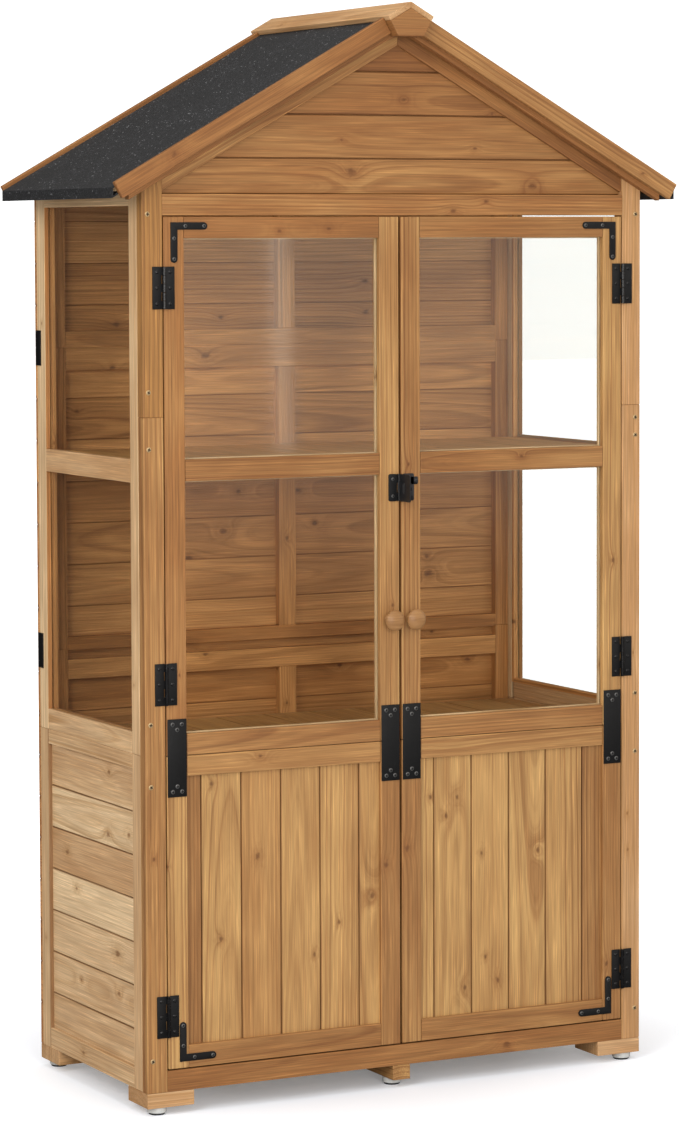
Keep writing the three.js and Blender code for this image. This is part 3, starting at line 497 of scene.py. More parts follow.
class Joinery:
    """Boards gathered into one piece. Each keeps its own grain, stain and knots as attributes."""

    names = ["grain", "seed", "cut", "tone", "size", "edge"]
    names += [f"knot_{i}" for i in range(KNOTS_PER_BOARD)]

    def __init__(self, seed, wall=None, side=1):
        self.bench = bmesh.new()
        self.layers = [self.bench.verts.layers.float_vector.new(n) for n in self.names]
        self.dice = random.Random(seed)
        self.wall = wall
        self.side = side
        self.count = 0

    def knots_on(self, run, wide, centre, half):
        """The listed knots that fall on a board, or now and then one by the dice."""
        found = []
        first, second = (1, 2) if self.wall == "side" else (0, 2)
        for knot in KNOTS_ON_WALLS.get(self.wall, ()):
            spot = {first: knot[0] - centre[first], second: knot[1] - centre[second]}
            if {run, wide} == set(spot) and all(abs(spot[i]) < half[i] for i in spot):
                found.append((spot[run], spot[wide], knot[2]))
        if not found:
            roll = self.dice.uniform
            for _ in range(int(2 * half[run] / KNOT_SPACING + self.dice.random() * 0.9)):
                found.append((roll(-0.9, 0.9) * half[run], roll(-0.7, 0.7) * half[wide], roll(2.5, 4.5)))
        return found[:KNOTS_PER_BOARD]

    def timber(self, tone, straight):
        """A board's seed, its place in a trunk and its stain. What isn't given is up to the dice."""
        roll = self.dice.uniform
        straight = self.dice.random() < 0.45 if straight is None else straight
        if straight:
            heart = (self.dice.choice((-1, 1)) * roll(90, 170), roll(-30, 30))
        else:
            heart = (roll(-18, 18), roll(-75, -28))
        seed = (roll(0, 60), roll(0, 60), roll(-0.03, 0.03))
        cut = (heart[0] * MM, heart[1] * MM, roll(4.5, 9) * MM)
        given = (*tone, None, None, None)
        return [seed, cut, [roll(*span) if t is None else t for t, span in zip(given, TONES)]]

    def board(self, x, y, z, grain, tone=(), section=None, cuts=(), lay=Matrix.Identity(4), ease=EASE,
              straight=None, knots=True, slot=0, edge=None, figure=None):
        """A board between two corners, or a section with a rebate, stretched along the grain's axis.

        Tone is how deep the stain is, how red, and how strong the lines. Figure names another axis for
        the grain, where a section is cut across it.
        """
        spans = (sided(self.side, x), y, z)
        across, up = SECTION_AXES[grain]
        if section is None:
            (left, right), (low, high) = spans[across], spans[up]
            section = [(left, low), (right, low), (right, high), (left, high)]
        elif grain != "x":
            section = [(first * self.side, second) for first, second in section]
        shape = prism(grain, section, spans["xyz".index(grain)], cuts, lay, ease)
        run = "xyz".index(figure or grain)
        across, up = SECTION_AXES[figure or grain]
        centre = [sum(s) / 2 for s in spans]
        half = [abs(s[1] - s[0]) / 2 for s in spans]
        wide, thick = (across, up) if half[across] >= half[up] else (up, across)
        found = self.knots_on(run, wide, centre, half) if knots else []
        found += [(0, 0, 0)] * (KNOTS_PER_BOARD - len(found))
        size = (half[run] * MM, half[wide] * MM, 0 if edge else half[thick] * MM)
        looks = [*self.timber(tone, straight), size, edge or ARRIS_PAINTED_HIGHLIGHT]
        looks += [[c * MM for c in knot] for knot in found]
        self.gather(shape, lay.inverted(), centre, (run, wide, thick), looks, slot)

    def gather(self, shape, back, centre, axes, looks, slot):
        """Adds a board's shape to the bench and writes its looks to its vertices."""
        before = len(self.bench.verts)
        join(self.bench, shape, slot)
        self.bench.verts.ensure_lookup_table()
        for vertex in self.bench.verts[before:]:
            local = back @ vertex.co
            vertex[self.layers[0]] = [(local[i] - centre[i]) * MM for i in axes]
            for layer, value in zip(self.layers[1:], looks):
                vertex[layer] = value
        self.count += 1

    def stand_for(self, node, ending, materials, slot="golden_fir"):
        """Makes the boards a piece of the carcass, named after the CAD node that it replaces."""
        piece(f"{node}_{ending}", self.bench, materials, "carcass", slot, node)


print("a board carries:", ", ".join(Joinery.names))

# %% [markdown]
# Feet. A block of fir stands under each corner and one beam runs under the middle. Each has round
# plastic glides nailed to it: a collar of nylon, moulded white with a soft gloss, and a black rubber
# sole.

# %% Feet
FOOT_HEIGHT = 23
FOOT_WIDTH = 77
FOOT_DEPTH = 72
BEAM_WIDTH = 30
SOLE = [(0, -12), (11.6, -12), (12.5, -11.2), (12.5, -9), (0, -9)]
COLLAR = [(0, -9), (13.7, -9), (14.5, -8.2), (14.5, -0.8), (14.1, 0), (0, 0)]


def moulded(name, colour, roughness, grit):
    """A moulded plastic with the faint orange-peel of its mould, grit millimetres apart."""
    mix = recipe(name)
    peel = mix.noise(mix.spot(), 1 / (grit * MM))
    tint = mix.scale(linear(colour)[:3], mix.fade(peel, 0.3, 0.7, 0.94, 1.04))
    gloss = mix.fade(peel, 0.3, 0.7, roughness - 0.05, roughness + 0.05)
    return mix.finish(mix.skin(tint, gloss, peel, 0.25, IOR=1.5))


white_nylon = moulded("white moulded nylon", "#ccccc7", 0.35, 1.5)
black_rubber = moulded("black rubber", "#1b1b1c", 0.7, 0.8)
glides = bmesh.new()
corner_glides = [(side * (HALF - 23), y) for side in SIDES.values() for y in (18, DEPTH - 18)]
for x, y in (*corner_glides, (0, 33), (0, DEPTH - 33)):
    turned(glides, SOLE, Vector((x, y, 0)), UP, 40, slot=1)
    turned(glides, COLLAR, Vector((x, y, 0)), UP, 40)
piece("glides", glides, [white_nylon, black_rubber], "carcass", "turned_wood", smooth=40)

for name, side in SIDES.items():
    for end, span in (("front", (0, FOOT_DEPTH)), ("back", (DEPTH - FOOT_DEPTH, DEPTH))):
        foot = Joinery(f"foot {name} {end}", side=side)
        foot.board((HALF - FOOT_WIDTH, HALF), span, (0, FOOT_HEIGHT), "x", (0.75, 0.1, 0.8))
        foot.stand_for(f"foot_{end}_{name}", "block", [pale_fir])
beam = Joinery("foot beam")
beam.board((-BEAM_WIDTH / 2, BEAM_WIDTH / 2), (0, DEPTH), (0, FOOT_HEIGHT), "y", (0.4, None, 1.0))
piece("foot_beam", beam.bench, [golden_fir], "carcass", "golden_fir", "foot_beam_centre")
print("feet: 4 blocks, 1 beam, 6 glides")

# %% [markdown]
# Roof lines. Every piece of the roof lies square to the slope, so it is easiest to draw it flat, as
# distances down the slope and layers above the wall line, and to tip it into place with one matrix.

# %% Roof lines
PITCH = math.radians(29.3)
APEX = 1631.8
TAN, COS, SIN = math.tan(PITCH), math.cos(PITCH), math.sin(PITCH)
RAFTER = (-35, 0)


def tip(side):
    """Lays a board drawn as (distance down the slope, depth, layer) on one side of the roof."""
    return Matrix([(side * COS, 0, side * SIN, 0), (0, 1, 0, 0), (-SIN, 0, COS, APEX), (0, 0, 0, 1)])


def saw(x, outward):
    """An upright saw cut across the cabinet at x."""
    return (Vector((x, 0, 0)), Vector((outward, 0, 0)))


def ridge_to(end, side):
    """Two saw cuts that end a sloping board at the ridge and at a distance from the middle."""
    return [saw(0, -side), saw(side * end, side)]


def under_roof(layer=0):
    """Two saw cuts that trim a board to the roof's underside, at a layer."""
    top = Vector((0, 0, APEX + layer / COS))
    return [(top, Vector((SIN, 0, COS))), (top, Vector((-SIN, 0, COS)))]


print("roof pitch", round(math.degrees(PITCH), 1), "degrees")

# %% [markdown]
# The front frame: two posts, each of two lengths butted at about two thirds of the height, a rail under
# the doors and a lintel over them. Uprights are drawn too long and the roof's two cuts trim them.

# %% Front frame
POST_IN = 397
POST_DEPTH = 19
POST_JOINT = 1034.5
POST_TOP = 1430
RAIL_TOP = 55
LINTEL = (1333, 1365)
lower_posts = {"left": (golden_fir, 0.65), "right": (pale_fir, 0.95)}
upper_posts = {"left": (1.0, 1.0, 0.95), "right": (1.0, 0.0, 0.95)}
for name, side in SIDES.items():
    fir, depth = lower_posts[name]
    lengths = {
        "lower": (fir, (FOOT_HEIGHT, POST_JOINT), (depth, None, 0.8), ()),
        "upper": (pale_fir, (POST_JOINT, POST_TOP), upper_posts[name], under_roof()),
    }
    for part, (wood, z, tone, cuts) in lengths.items():
        post = Joinery(f"post {part} {name}", "front", side)
        post.board((POST_IN, HALF), (0, POST_DEPTH), z, "z", tone, straight=True, cuts=cuts)
        post.stand_for(f"post_{part}_{name}", "timber", [wood])
rails = (
    ("front rail", "rail_front_bottom", (FOOT_HEIGHT, RAIL_TOP), (0.95, 0.45, 0.5)),
    ("lintel", "rail_front_top", LINTEL, (0.9, 0.1, 0.8)),
)
for seed, node_name, z, tone in rails:
    rail = Joinery(seed, "front")
    rail.board((-POST_IN, POST_IN), (0, POST_DEPTH), z, "x", tone)
    rail.stand_for(node_name, "timber", [golden_fir])
print("front frame: 4 post lengths, 2 rails")

# %% [markdown]
# Boarding. Panels, gables and the back wall are filled with thin boards that meet in a V, because each
# board's edges are planed off, with a tongue in the next board's groove behind the V. A row of eased
# boards with a thin strip behind each joint shows the same line, and no light comes through. The two
# rafters of a gable are drawn too long and are cut at the ridge and at the wall.

# %% Boarding
BOARD_THICKNESS = 8
BOARD_WIDTH = 66
GABLE_TOP = 1640
TONGUE = 5
TONGUE_HALF = 1.2
JOINT = 0.35
# Joints are painted darker along their edges: a painted shade in the V
SHARP_JOINT = {"ease": 1.7, "edge": JOINT_PAINTED_SHADE}
SOFT_JOINT = {"ease": 0.9, "edge": SOFT_JOINT_PAINTED_SHADE}


def boarding(work, axis, limits, joints, other, face, grain, tones=None, cuts=(), style=SHARP_JOINT):
    """Fills a panel with boards. Axis is across the boards, other their span along the grain.

    A board's tone may end with whether the board is straight in the grain.
    """
    edges = [limits[0], *joints, limits[1]]
    thick = ({"x", "y", "z"} - {axis, grain}).pop()
    for i, (low, high) in enumerate(zip(edges, edges[1:])):
        spans = {axis: (low + JOINT, high - JOINT), grain: other, thick: face}
        tone = (*tones[i], None) if tones else (None,) * 4
        work.board(**spans, grain=grain, tone=tone[:3], straight=tone[3], cuts=cuts, **style)
    middle = sum(face) / 2
    for joint in joints:
        spans = {axis: (joint - TONGUE, joint + TONGUE), grain: other}
        spans[thick] = (middle - TONGUE_HALF, middle + TONGUE_HALF)
        work.board(**spans, grain=grain, tone=(1,), ease=0, cuts=cuts, knots=False)


def steps(first, end, pitch):
    """Places from first up to end, a pitch apart."""
    return [first + i * pitch for i in range(math.ceil((end - first) / pitch))]


gable_tones = [(0.8, 0.25, 0.7), (0.8, 0.3, 0.65), (0.9, 0.45, 0.7), (1.0, 0.75, 0.7), (1.0, 0.75, 0.7)]
gable_joints = steps(1419, GABLE_TOP, BOARD_WIDTH)
gable_face = (POST_DEPTH - BOARD_THICKNESS, POST_DEPTH)
gable = Joinery("gable", "gable")
boarding(gable, "z", (LINTEL[1], GABLE_TOP), gable_joints, (-POST_IN, POST_IN), gable_face, "x",
         gable_tones, under_roof())
for side, tone in ((-1, (0.75, 0.15, 0.8)), (1, (1.0, 0.55, 0.8))):
    gable.board((-40, 520), (4, 11), RAFTER, "x", tone, lay=tip(side), cuts=ridge_to(POST_IN, side))
gable.stand_for("gable_front", "boards", [golden_fir], "red_fir")
print("gable:", gable.count, "boards")

# %% [markdown]
# Side walls. Below, a frame holds horizontal boards. Above, a frame holds one clear sheet behind its
# front lip, so that it shows as two windows, and thin beads hold the sheet from the inside. The stiles
# and rails have a real rebate in their section: through the sheet one sees the lip, a dark line where
# the sheet goes in, and the bead behind it.

# %% Side walls
SIDE_IN = 412
BOARD_END = 404
STILE_FRONT = (19, 49)
STILE_BACK = (372, BOARD_END)
BETWEEN_STILES = (STILE_FRONT[1], STILE_BACK[0])
SIDE_JOINT = 530
STILE_TOP = 1480
HEAD_TOP = 1420
SIDE_FIELD = (55, 507)
SIDE_BOARDS = (HALF - 14, HALF - 6)
SIDE_WINDOWS = ((562, 936), (971, 1348))
LIP = HALF - 7
REBATE = 6
PANE = 2
PANE_GAP = 0.3
BEAD = (SIDE_IN + 0.4, LIP - 2 * PANE_GAP - PANE)
BEAD_PROUD = 1
SLAT_INSET = 3
REVEAL = 0.8
FINE_EASE = 0.8
LEDGER = (SIDE_IN - 15, SIDE_IN)
LEDGERS = {"lower": (496, 516), "upper": (935, 955)}
SHELF_Y = (20.7, 388.7)
side_tones = [
    (0.45, 0.1, 0.5), (0.4, 0.1, 0.5), (0.25, 0, 0.45), (0.0, 0, 0.35), (0.65, 0.1, 0.45), (0.1, 0, 0.6),
    (0.45, 0.05, 0.6),
]


def rebated(outer, window):
    """A section of a side frame from its outer edge to a window, with a rebate behind the lip there."""
    inside = window + math.copysign(REBATE, outer - window)
    heights = (outer, outer, window, window, inside, inside)
    return list(zip((SIDE_IN, HALF, HALF, LIP, LIP, SIDE_IN), heights))


def side_panel(name, side):
    """The boarded lower half of a side wall."""
    work = Joinery(f"side panel {name}", "side", side)
    x = (SIDE_IN, HALF)
    height = (FOOT_HEIGHT, SIDE_JOINT)
    work.board(x, STILE_FRONT, height, "z", (0.5, 0.1), straight=True)
    # The back stile is painted darker along its edges: a painted shade at the reveal beside the boards
    work.board(x, STILE_BACK, height, "z", (0.3,), straight=True, edge=JOINT_PAINTED_SHADE)
    work.board(x, BETWEEN_STILES, (FOOT_HEIGHT, SIDE_FIELD[0]), "y", (0.35,))
    work.board(x, BETWEEN_STILES, (SIDE_FIELD[1], SIDE_JOINT), "y", (0.4,))
    field = (BETWEEN_STILES[0] - TONGUE, BETWEEN_STILES[1] + TONGUE)
    limits = (SIDE_FIELD[0] - TONGUE, SIDE_FIELD[1] + TONGUE)
    joints = steps(111, SIDE_FIELD[1], BOARD_WIDTH)
    boarding(work, "z", limits, joints, field, SIDE_BOARDS, "y", side_tones)
    work.board(LEDGER, SHELF_Y, LEDGERS["lower"], "y", (0.9,), slot=1)
    return work


def side_frame(name, side):
    """The glazed upper half of a side wall."""
    work = Joinery(f"side frame {name}", "side", side)
    (low, middle_low), (middle_high, high) = SIDE_WINDOWS
    x = (SIDE_IN, HALF)
    roof = under_roof()
    stiles = (
        (STILE_FRONT, (0.4, 0, 0.7), rebated(*STILE_FRONT)),
        (STILE_BACK, (0.1, 0), rebated(*reversed(STILE_BACK))),
    )
    for y, tone, section in stiles:
        work.board(x, y, (SIDE_JOINT, STILE_TOP), "z", tone, section, roof, straight=True)
    middle = [(LIP, middle_low), (HALF, middle_low), (HALF, middle_high), (LIP, middle_high)]
    rails = (
        ((SIDE_JOINT, low), (0.45, 0.1), rebated(SIDE_JOINT, low), ()),
        ((middle_low, middle_high), (0.75, 0.15), middle, ()),
        ((high, HEAD_TOP), (0.1, 0.25), rebated(HEAD_TOP, high), roof),
    )
    for z, tone, section, cuts in rails:
        work.board(x, BETWEEN_STILES, z, "y", tone, section, cuts)
    return work


def line_windows(work):
    """The beads behind a side's sheet, the ledger of the middle shelf, and red strips on the reveals, a
    painted shade.
    """
    (low, middle_low), (middle_high, high) = SIDE_WINDOWS
    front, back = BETWEEN_STILES
    height = (low - REBATE, high + REBATE)
    inner = (front + BEAD_PROUD, back - BEAD_PROUD)
    bead = {"ease": FINE_EASE, "slot": 1}
    work.board(BEAD, (front - REBATE, front + BEAD_PROUD), height, "z", (0.3,), **bead)
    work.board(BEAD, (back - BEAD_PROUD, back + REBATE), height, "z", (0.2,), **bead)
    for z in ((height[0], low + BEAD_PROUD), (high - BEAD_PROUD, height[1])):
        work.board(BEAD, inner, z, "y", (0.3,), **bead)
    work.board(BEAD, inner, (middle_low + SLAT_INSET, middle_high - SLAT_INSET), "y", (0.6,), slot=1)
    work.board(LEDGER, SHELF_Y, LEDGERS["upper"], "y", (0.9,), slot=1)
    # A thin red-brown strip on each window's back reveal paints it darker: a painted shade in the rebate
    reveal = {"ease": 0, "knots": False, "slot": 1}
    for z in SIDE_WINDOWS:
        work.board((LIP, HALF - 0.5), (back - REVEAL, back), z, "z", (0.7, 0.5), **reveal)


for name, side in SIDES.items():
    panel = side_panel(name, side)
    window = side_frame(name, side)
    line_windows(window)
    print("side", name, panel.count + window.count, "boards")
    panel.stand_for(f"side_panel_lower_{name}", "boards", [pale_fir, red_fir], "pale_fir")
    window.stand_for(f"side_frame_upper_{name}", "timber", [pale_fir, red_fir], "pale_fir")

# %% [markdown]
# The back wall: three boarded panels stacked on each other, with rails and battens on the inside. From
# the front it is the first thing that shows through the doors, and from the back it is one tall wall
# of boards with two seams.

# %% Back wall
BACK_FACE = (BOARD_END, DEPTH)
BATTEN_FACE = (389, BOARD_END)
INSIDE = SIDE_IN - 0.3
BACK_SEAMS = (652, 1128.5)
BATTEN_HALF = 15
EDGE_BATTEN = 23.7
BATTEN_TOP = 1480


def back_panel(part, limits, rails, middle_batten):
    """A panel of the back wall: its boards, its rails, as (span, depth of stain), and its battens."""
    work = Joinery(f"back {part}", "back")
    joints = steps(limits[0] + BOARD_WIDTH, limits[1], BOARD_WIDTH)
    boarding(work, "z", limits, joints, (-HALF, HALF), BACK_FACE, "x", None, under_roof(), SOFT_JOINT)
    for z, depth in rails:
        work.board((EDGE_BATTEN - INSIDE, INSIDE - EDGE_BATTEN), BATTEN_FACE, z, "x", (depth,))
    edge = (limits[0], min(limits[1], BATTEN_TOP))
    middle = (-BATTEN_HALF, BATTEN_HALF)
    battens = [(sided(side, (INSIDE - EDGE_BATTEN, INSIDE)), edge, (0.5,)) for side in SIDES.values()]
    for x, z, tone in (*battens, (middle, middle_batten, (0.35, 0.1))):
        work.board(x, BATTEN_FACE, z, "z", tone, cuts=under_roof(RAFTER[0]))
    return work


low, high = BACK_SEAMS
back_panels = {
    "lower": ((FOOT_HEIGHT, low), [((FOOT_HEIGHT, 55), 0.4), ((604, 635), 0.25)], (55, 604)),
    "middle": (BACK_SEAMS, [((low - 2, low + 19), 0.7), ((high - 36, high), 0.4)], (low + 19, high - 36)),
    "upper": ((high, GABLE_TOP), [((high, high + 25.5), 0.4)], (high + 25.5, GABLE_TOP)),
}
for part, (limits, rails, middle_batten) in back_panels.items():
    work = back_panel(part, limits, rails, middle_batten)
    for side in SIDES.values() if part == "upper" else ():
        cuts = ridge_to(INSIDE, side)
        work.board((-40, 540), BATTEN_FACE, RAFTER, "x", (0.6,), lay=tip(side), cuts=cuts)
    work.stand_for(f"back_panel_{part}", "boards", [red_fir], "red_fir")
    print("back", part, work.count, "boards")

# %% [markdown]
# Floor and shelves: loose-laid boards that run from front to back, on bearers and on the ledgers.

# %% Floor and shelves
SHELF_THICKNESS = 12
SHELF_BOARD = 84
BEARER = 20
shelf_joints = steps(28.7 - INSIDE, INSIDE, SHELF_BOARD)
levels = (
    ("floor", "floor_boards", "timber", RAIL_TOP, golden_fir),
    ("shelf_lower", "shelf_lower", "boards", 528, golden_fir),
    # The middle shelf gets the lighter copy of the stain, as painted light on its top
    ("shelf_middle", "shelf_middle", "boards", 967, fir_painted_light_for_shelf),
)
for seed, node_name, ending, top, fir in levels:
    level = Joinery(seed)
    tones = [(0.0, 0.1, 0.5)] * (len(shelf_joints) + 1)
    height = (top - SHELF_THICKNESS, top)
    boarding(level, "x", (-INSIDE, INSIDE), shelf_joints, SHELF_Y, height, "y", tones)
    for left in (-INSIDE, -BEARER / 2, INSIDE - BEARER) if seed == "floor" else ():
        level.board((left, left + BEARER), SHELF_Y, (FOOT_HEIGHT, top - SHELF_THICKNESS), "y", (0.6,))
    level.stand_for(node_name, ending, [fir], "red_fir")
print("levels:", len(levels), "of", len(shelf_joints) + 1, "boards")

# %% [markdown]
# The roof deck, its barge boards and the ridge cap. The deck's boards run from front to back and their
# undersides show at the eaves. A barge board covers the deck's end at the front and at the back and
# stands a little over the felt. The cap is two boards along the ridge, closed at each end by a block
# with five sides.

# %% Deck, barge boards and ridge cap
EAVE_X = 483.5
DECK_END = EAVE_X - 2.3
DECK = (0.3, 9.3)
EAVE_RAFTER = (DECK[0] - 17.5, DECK[0])
RAFTER_END = EAVE_X - 26.5
CAP = (11.9, 20.4)
BARGE = (-8.9, 18.1)
OVERHANG = -14
CAP_END = 45 - CAP[1] * TAN
BLOCK_FOOT = BARGE[1] - 32.7
CAP_Y = (-40, DEPTH + 26)
BLOCK_X = (-39, 39)
BLOCK_Z = (1590, 1645)
deck_edges = [-8, *steps(72, 560, 72)]
barge_tones = {"left": (0.95, 0.5), "right": (0.7, 0.3)}

for name, side in SIDES.items():
    deck = Joinery(f"deck {name}")
    over = {"y": (OVERHANG, DEPTH), "z": DECK, "lay": tip(side), "cuts": ridge_to(DECK_END, side)}
    for low, high in zip(deck_edges, deck_edges[1:]):
        deck.board((low + JOINT, high - JOINT), grain="y", tone=(0.35,), ease=FINE_EASE, **over)
    under = {"y": (OVERHANG, 0), "z": EAVE_RAFTER, "lay": tip(side), "cuts": ridge_to(RAFTER_END, side)}
    deck.board((-20, 560), grain="x", tone=(1.0, 0.6), **under)
    deck.stand_for(f"roof_deck_{name}", "boards", [golden_fir])
    barge_end = (EAVE_X - BARGE[1] * SIN) / COS
    for end, y in (("front", (-24, OVERHANG)), ("back", (DEPTH, DEPTH + 10))):
        barge = Joinery(f"barge {end} {name}")
        barge.board((CAP_END + 0.3, barge_end), y, BARGE, "x", barge_tones[name], lay=tip(side), ease=1.5)
        barge.stand_for(f"barge_board_{end}_{name}", "timber", [golden_fir], "pale_fir")

cap = Joinery("ridge cap")
for side in SIDES.values():
    cap.board((-20, CAP_END), CAP_Y, CAP, "y", (0.75, 0.15), lay=tip(side), cuts=[saw(0, -side)], slot=1)
edge_x, edge_z = CAP_END * COS, APEX - CAP_END * SIN
right = [(edge_x + layer * SIN, edge_z + layer * COS) for layer in (CAP[0], BLOCK_FOOT)]
block = [(0, APEX + CAP[0] / COS), *right, *[(-x, z) for x, z in reversed(right)]]
for y in ((CAP_Y[0], OVERHANG), (DEPTH, CAP_Y[1])):
    cap.board(BLOCK_X, y, BLOCK_Z, "y", (0.9, 0.45, 0.6), block, straight=True, figure="x")
cap.stand_for("ridge_cap", "boards", [golden_fir, pale_fir], "pale_fir")
print("roof: two decks, four barge boards, a cap")

# %% [markdown]
# Roofing felt: bitumen sheet with crushed slate pressed into it. It is almost black and matt, with a
# pale fleck here and there, and each grain of slate stands up a little. The grains are about 1 mm; they
# are drawn at 2 mm, because finer ones would vanish in the render.

# %% Felt
SLATE_GRAIN = 2.0


def slated_felt(name):
    """Bitumen felt with slate granules."""
    mix = recipe(name)
    spot = mix.spot()
    grains = mix.node("TexVoronoi", {"Vector": spot, "Scale": 1 / (SLATE_GRAIN * MM)})
    slate = mix.split(grains["Color"])
    wear = mix.fade(mix.noise(spot, 9.0, 4.0, 0.65), 0.35, 0.7, 0.0, 1.0)
    fleck = mix.math("MULTIPLY", mix.fade(slate["X"], 0.86, 1.0, 0, 1), wear)
    ground = mix.blend(slate["Y"], linear("#171718"), linear("#272728"))
    flecked = mix.blend(fleck, ground, linear("#5c5c5f"))
    # The brightest few grains are painted near white: painted glints on the slate
    painted_glints = mix.blend(mix.fade(slate["X"], 0.99, 0.995, 0, 0.5), flecked, linear("#b4b4b4"))
    relief = mix.math("MULTIPLY", grains["Distance"], -1.0)
    return mix.finish(mix.skin(painted_glints, mix.fade(slate["Z"], 0, 1, 0.75, 0.95), relief, 0.8, 0.6))


dress("roof_felt", slated_felt("slated bitumen felt"))
print("felt: grains", SLATE_GRAIN, "mm")

# %% [markdown]
# Doors. A glazed frame above is joined to a boarded panel below. Both are put together like the side
# walls: stiles, rails between them, a sheet in a rebate with beads behind, and boards in the panel.

# %% Doors
DOOR_X = (2, 395)
DOOR_Z = (57, 529, 1331)
DOOR_FACE = (0, 18)
DOOR_LIP = 10
FIELD_X = (35, 362)
SEAM = 0.8
RAIL_X = (FIELD_X[0] + SEAM / 2, FIELD_X[1] - SEAM / 2)
DOOR_WINDOWS = ((561, 938), (971, 1299))
DOOR_FIELD = (91, 497)
DOOR_BOARDS = (6, 14)
DOOR_BEAD = (DOOR_LIP + 2 * PANE_GAP + PANE, DOOR_FACE[1] - 0.4)
DOOR_BEAD_PROUD = 1.5
HINGE_STILE, MEETING_STILE = (FIELD_X[1], DOOR_X[1]), (DOOR_X[0], FIELD_X[0])
door_tones = {
    "left": [(0.65, 0.5, 0.9, True), (0.25, 0.15, 0.6, False), (0.65, 0.1, 0.35, True),
             (0.35, 0.1, 0.55, False), (0.45, 0.0, 0.6, True), (0.45, 0.05, 0.6, False)],
    "right": [(0.2, 0.0, 0.6, True), (0.2, 0.05, 0.6, False), (0.35, 0.0, 0.35, True),
              (0.2, 0.05, 0.75, False), (0.35, 0.1, 0.85, False), (0.5, 0.35, 0.9, True)],
}
frame_tones = {
    "left": ((1.0, 0.15), (0.5, 0.1), (0.75, 0.35), (0.8, 0.35, 1.0), (1.0, 0.5)),
    "right": ((0.4, 0.05), (0.65, 0.2, 1.0), (0.75, 0.3), (0.75, 0.35, 1.0), (0.8, 0.35)),
}
panel_stiles = {
    "left": ((HINGE_STILE, (0.4, 0.1)), (MEETING_STILE, (0.7, 0.45))),
    "right": ((MEETING_STILE, (0.6, 0.3)), (HINGE_STILE, (0.7, 0.3))),
}


def lipped(outer, window):
    """A section of a door, as (across, depth), with a rebate behind the lip at the window."""
    inside = window + math.copysign(REBATE, outer - window)
    front, back = DOOR_FACE
    depths = (front, front, DOOR_LIP, DOOR_LIP, back, back)
    return list(zip((outer, window, window, inside, inside, outer), depths))


def door_frame(name, side):
    """The glazed half of a door, with the beads behind its sheet."""
    work = Joinery(f"door frame {name}", "front", side)
    hinge, meeting, bottom, middle, head = frame_tones[name]
    (low, middle_low), (middle_high, high) = DOOR_WINDOWS
    joint, top = DOOR_Z[1:]
    stiles = ((hinge, HINGE_STILE, HINGE_STILE[::-1]), (meeting, MEETING_STILE, MEETING_STILE))
    for tone, x, outwards in stiles:
        work.board(x, DOOR_FACE, (joint, top), "z", tone, lipped(*outwards), straight=True)
    work.board(RAIL_X, DOOR_FACE, (joint, low), "x", bottom, [(y, z) for z, y in lipped(joint, low)])
    work.board(RAIL_X, (0, DOOR_LIP), (middle_low, middle_high), "x", middle)
    work.board(RAIL_X, DOOR_FACE, (high, top), "x", head, [(y, z) for z, y in lipped(top, high)])
    proud = DOOR_BEAD_PROUD
    height = (low - REBATE, high + REBATE)
    bead = {"tone": (0.1, 0), "ease": FINE_EASE, "slot": 1}
    for x in ((FIELD_X[0] - REBATE, FIELD_X[0] + proud), (FIELD_X[1] - proud, FIELD_X[1] + REBATE)):
        work.board(x, DOOR_BEAD, height, "z", **bead)
    inner = (FIELD_X[0] + proud, FIELD_X[1] - proud)
    middle = (middle_low - proud, middle_high + proud)
    for z in ((height[0], low + proud), (high - proud, height[1]), middle):
        work.board(inner, DOOR_BEAD, z, "x", **bead)
    return work


def door_panel(name, side):
    """The boarded half of a door. Its boards start from the left in both doors."""
    work = Joinery(f"door panel {name}", "front", side)
    bottom, top = DOOR_Z[0], DOOR_Z[1] - SEAM
    for x, tone in panel_stiles[name]:
        work.board(x, DOOR_FACE, (bottom, top), "z", tone, straight=True)
    work.board(RAIL_X, DOOR_FACE, (bottom, DOOR_FIELD[0]), "x", (0.7, 0.3))
    work.board(RAIL_X, DOOR_FACE, (DOOR_FIELD[1], top), "x", (0.65, 0.2))
    work.wall, work.side = "door", 1
    left, right = sided(side, FIELD_X)
    height = (DOOR_FIELD[0] - TONGUE, DOOR_FIELD[1] + TONGUE)
    joints = steps(left + 25.5, right, 66.6)
    limits = (left - TONGUE, right + TONGUE)
    boarding(work, "x", limits, joints, height, DOOR_BOARDS, "z", door_tones[name])
    return work


for name, side in SIDES.items():
    for half, boards, ending in (("frame", door_frame, "timber"), ("panel", door_panel, "boards")):
        work = boards(name, side)
        cad = f"door_{name}_{half}_{'upper' if half == 'frame' else 'lower'}"
        finishes = [golden_fir, pale_fir] if half == "frame" else [golden_fir]
        piece(f"door_{name}_{half}_{ending}", work.bench, finishes, f"{name}_door", "golden_fir", cad)
        print("door", name, half, work.count, "boards")

# %% [markdown]
# The sheets are clear acrylic, 2 mm thick. Real refraction would need many light paths for the same
# look in a sheet this thin, so the material lets light straight through and mirrors a share of it. The
# share grows at a low angle, and slow smears blur the mirror.

# %% Clear sheet


def clear_acrylic(name):
    """A thin clear sheet: see-through, with a soft reflection."""
    mix = recipe(name)
    smear = mix.fade(mix.noise(mix.spot(), 3.0), 0.35, 0.7, 0.04, 0.075)
    facing = mix.node("LayerWeight", {"Blend": 0.5})["Facing"]
    mirrored = mix.fade(mix.math("POWER", facing, 3.5), 0, 1, 0.04, 1)
    gloss = mix.skin(linear("#fafcff"), smear, Metallic=1.0)
    through = mix.node("BsdfTransparent", {"Color": linear("#fdfefd")})[0]
    return mix.finish(mix.node("MixShader", {0: mirrored, 1: through, 2: gloss})[0])


acrylic = clear_acrylic("clear acrylic sheet")
for name in SIDES:
    dress(f"side_pane_{name}", acrylic)
    dress(f"door_{name}_pane", acrylic)
print("sheets: 4")
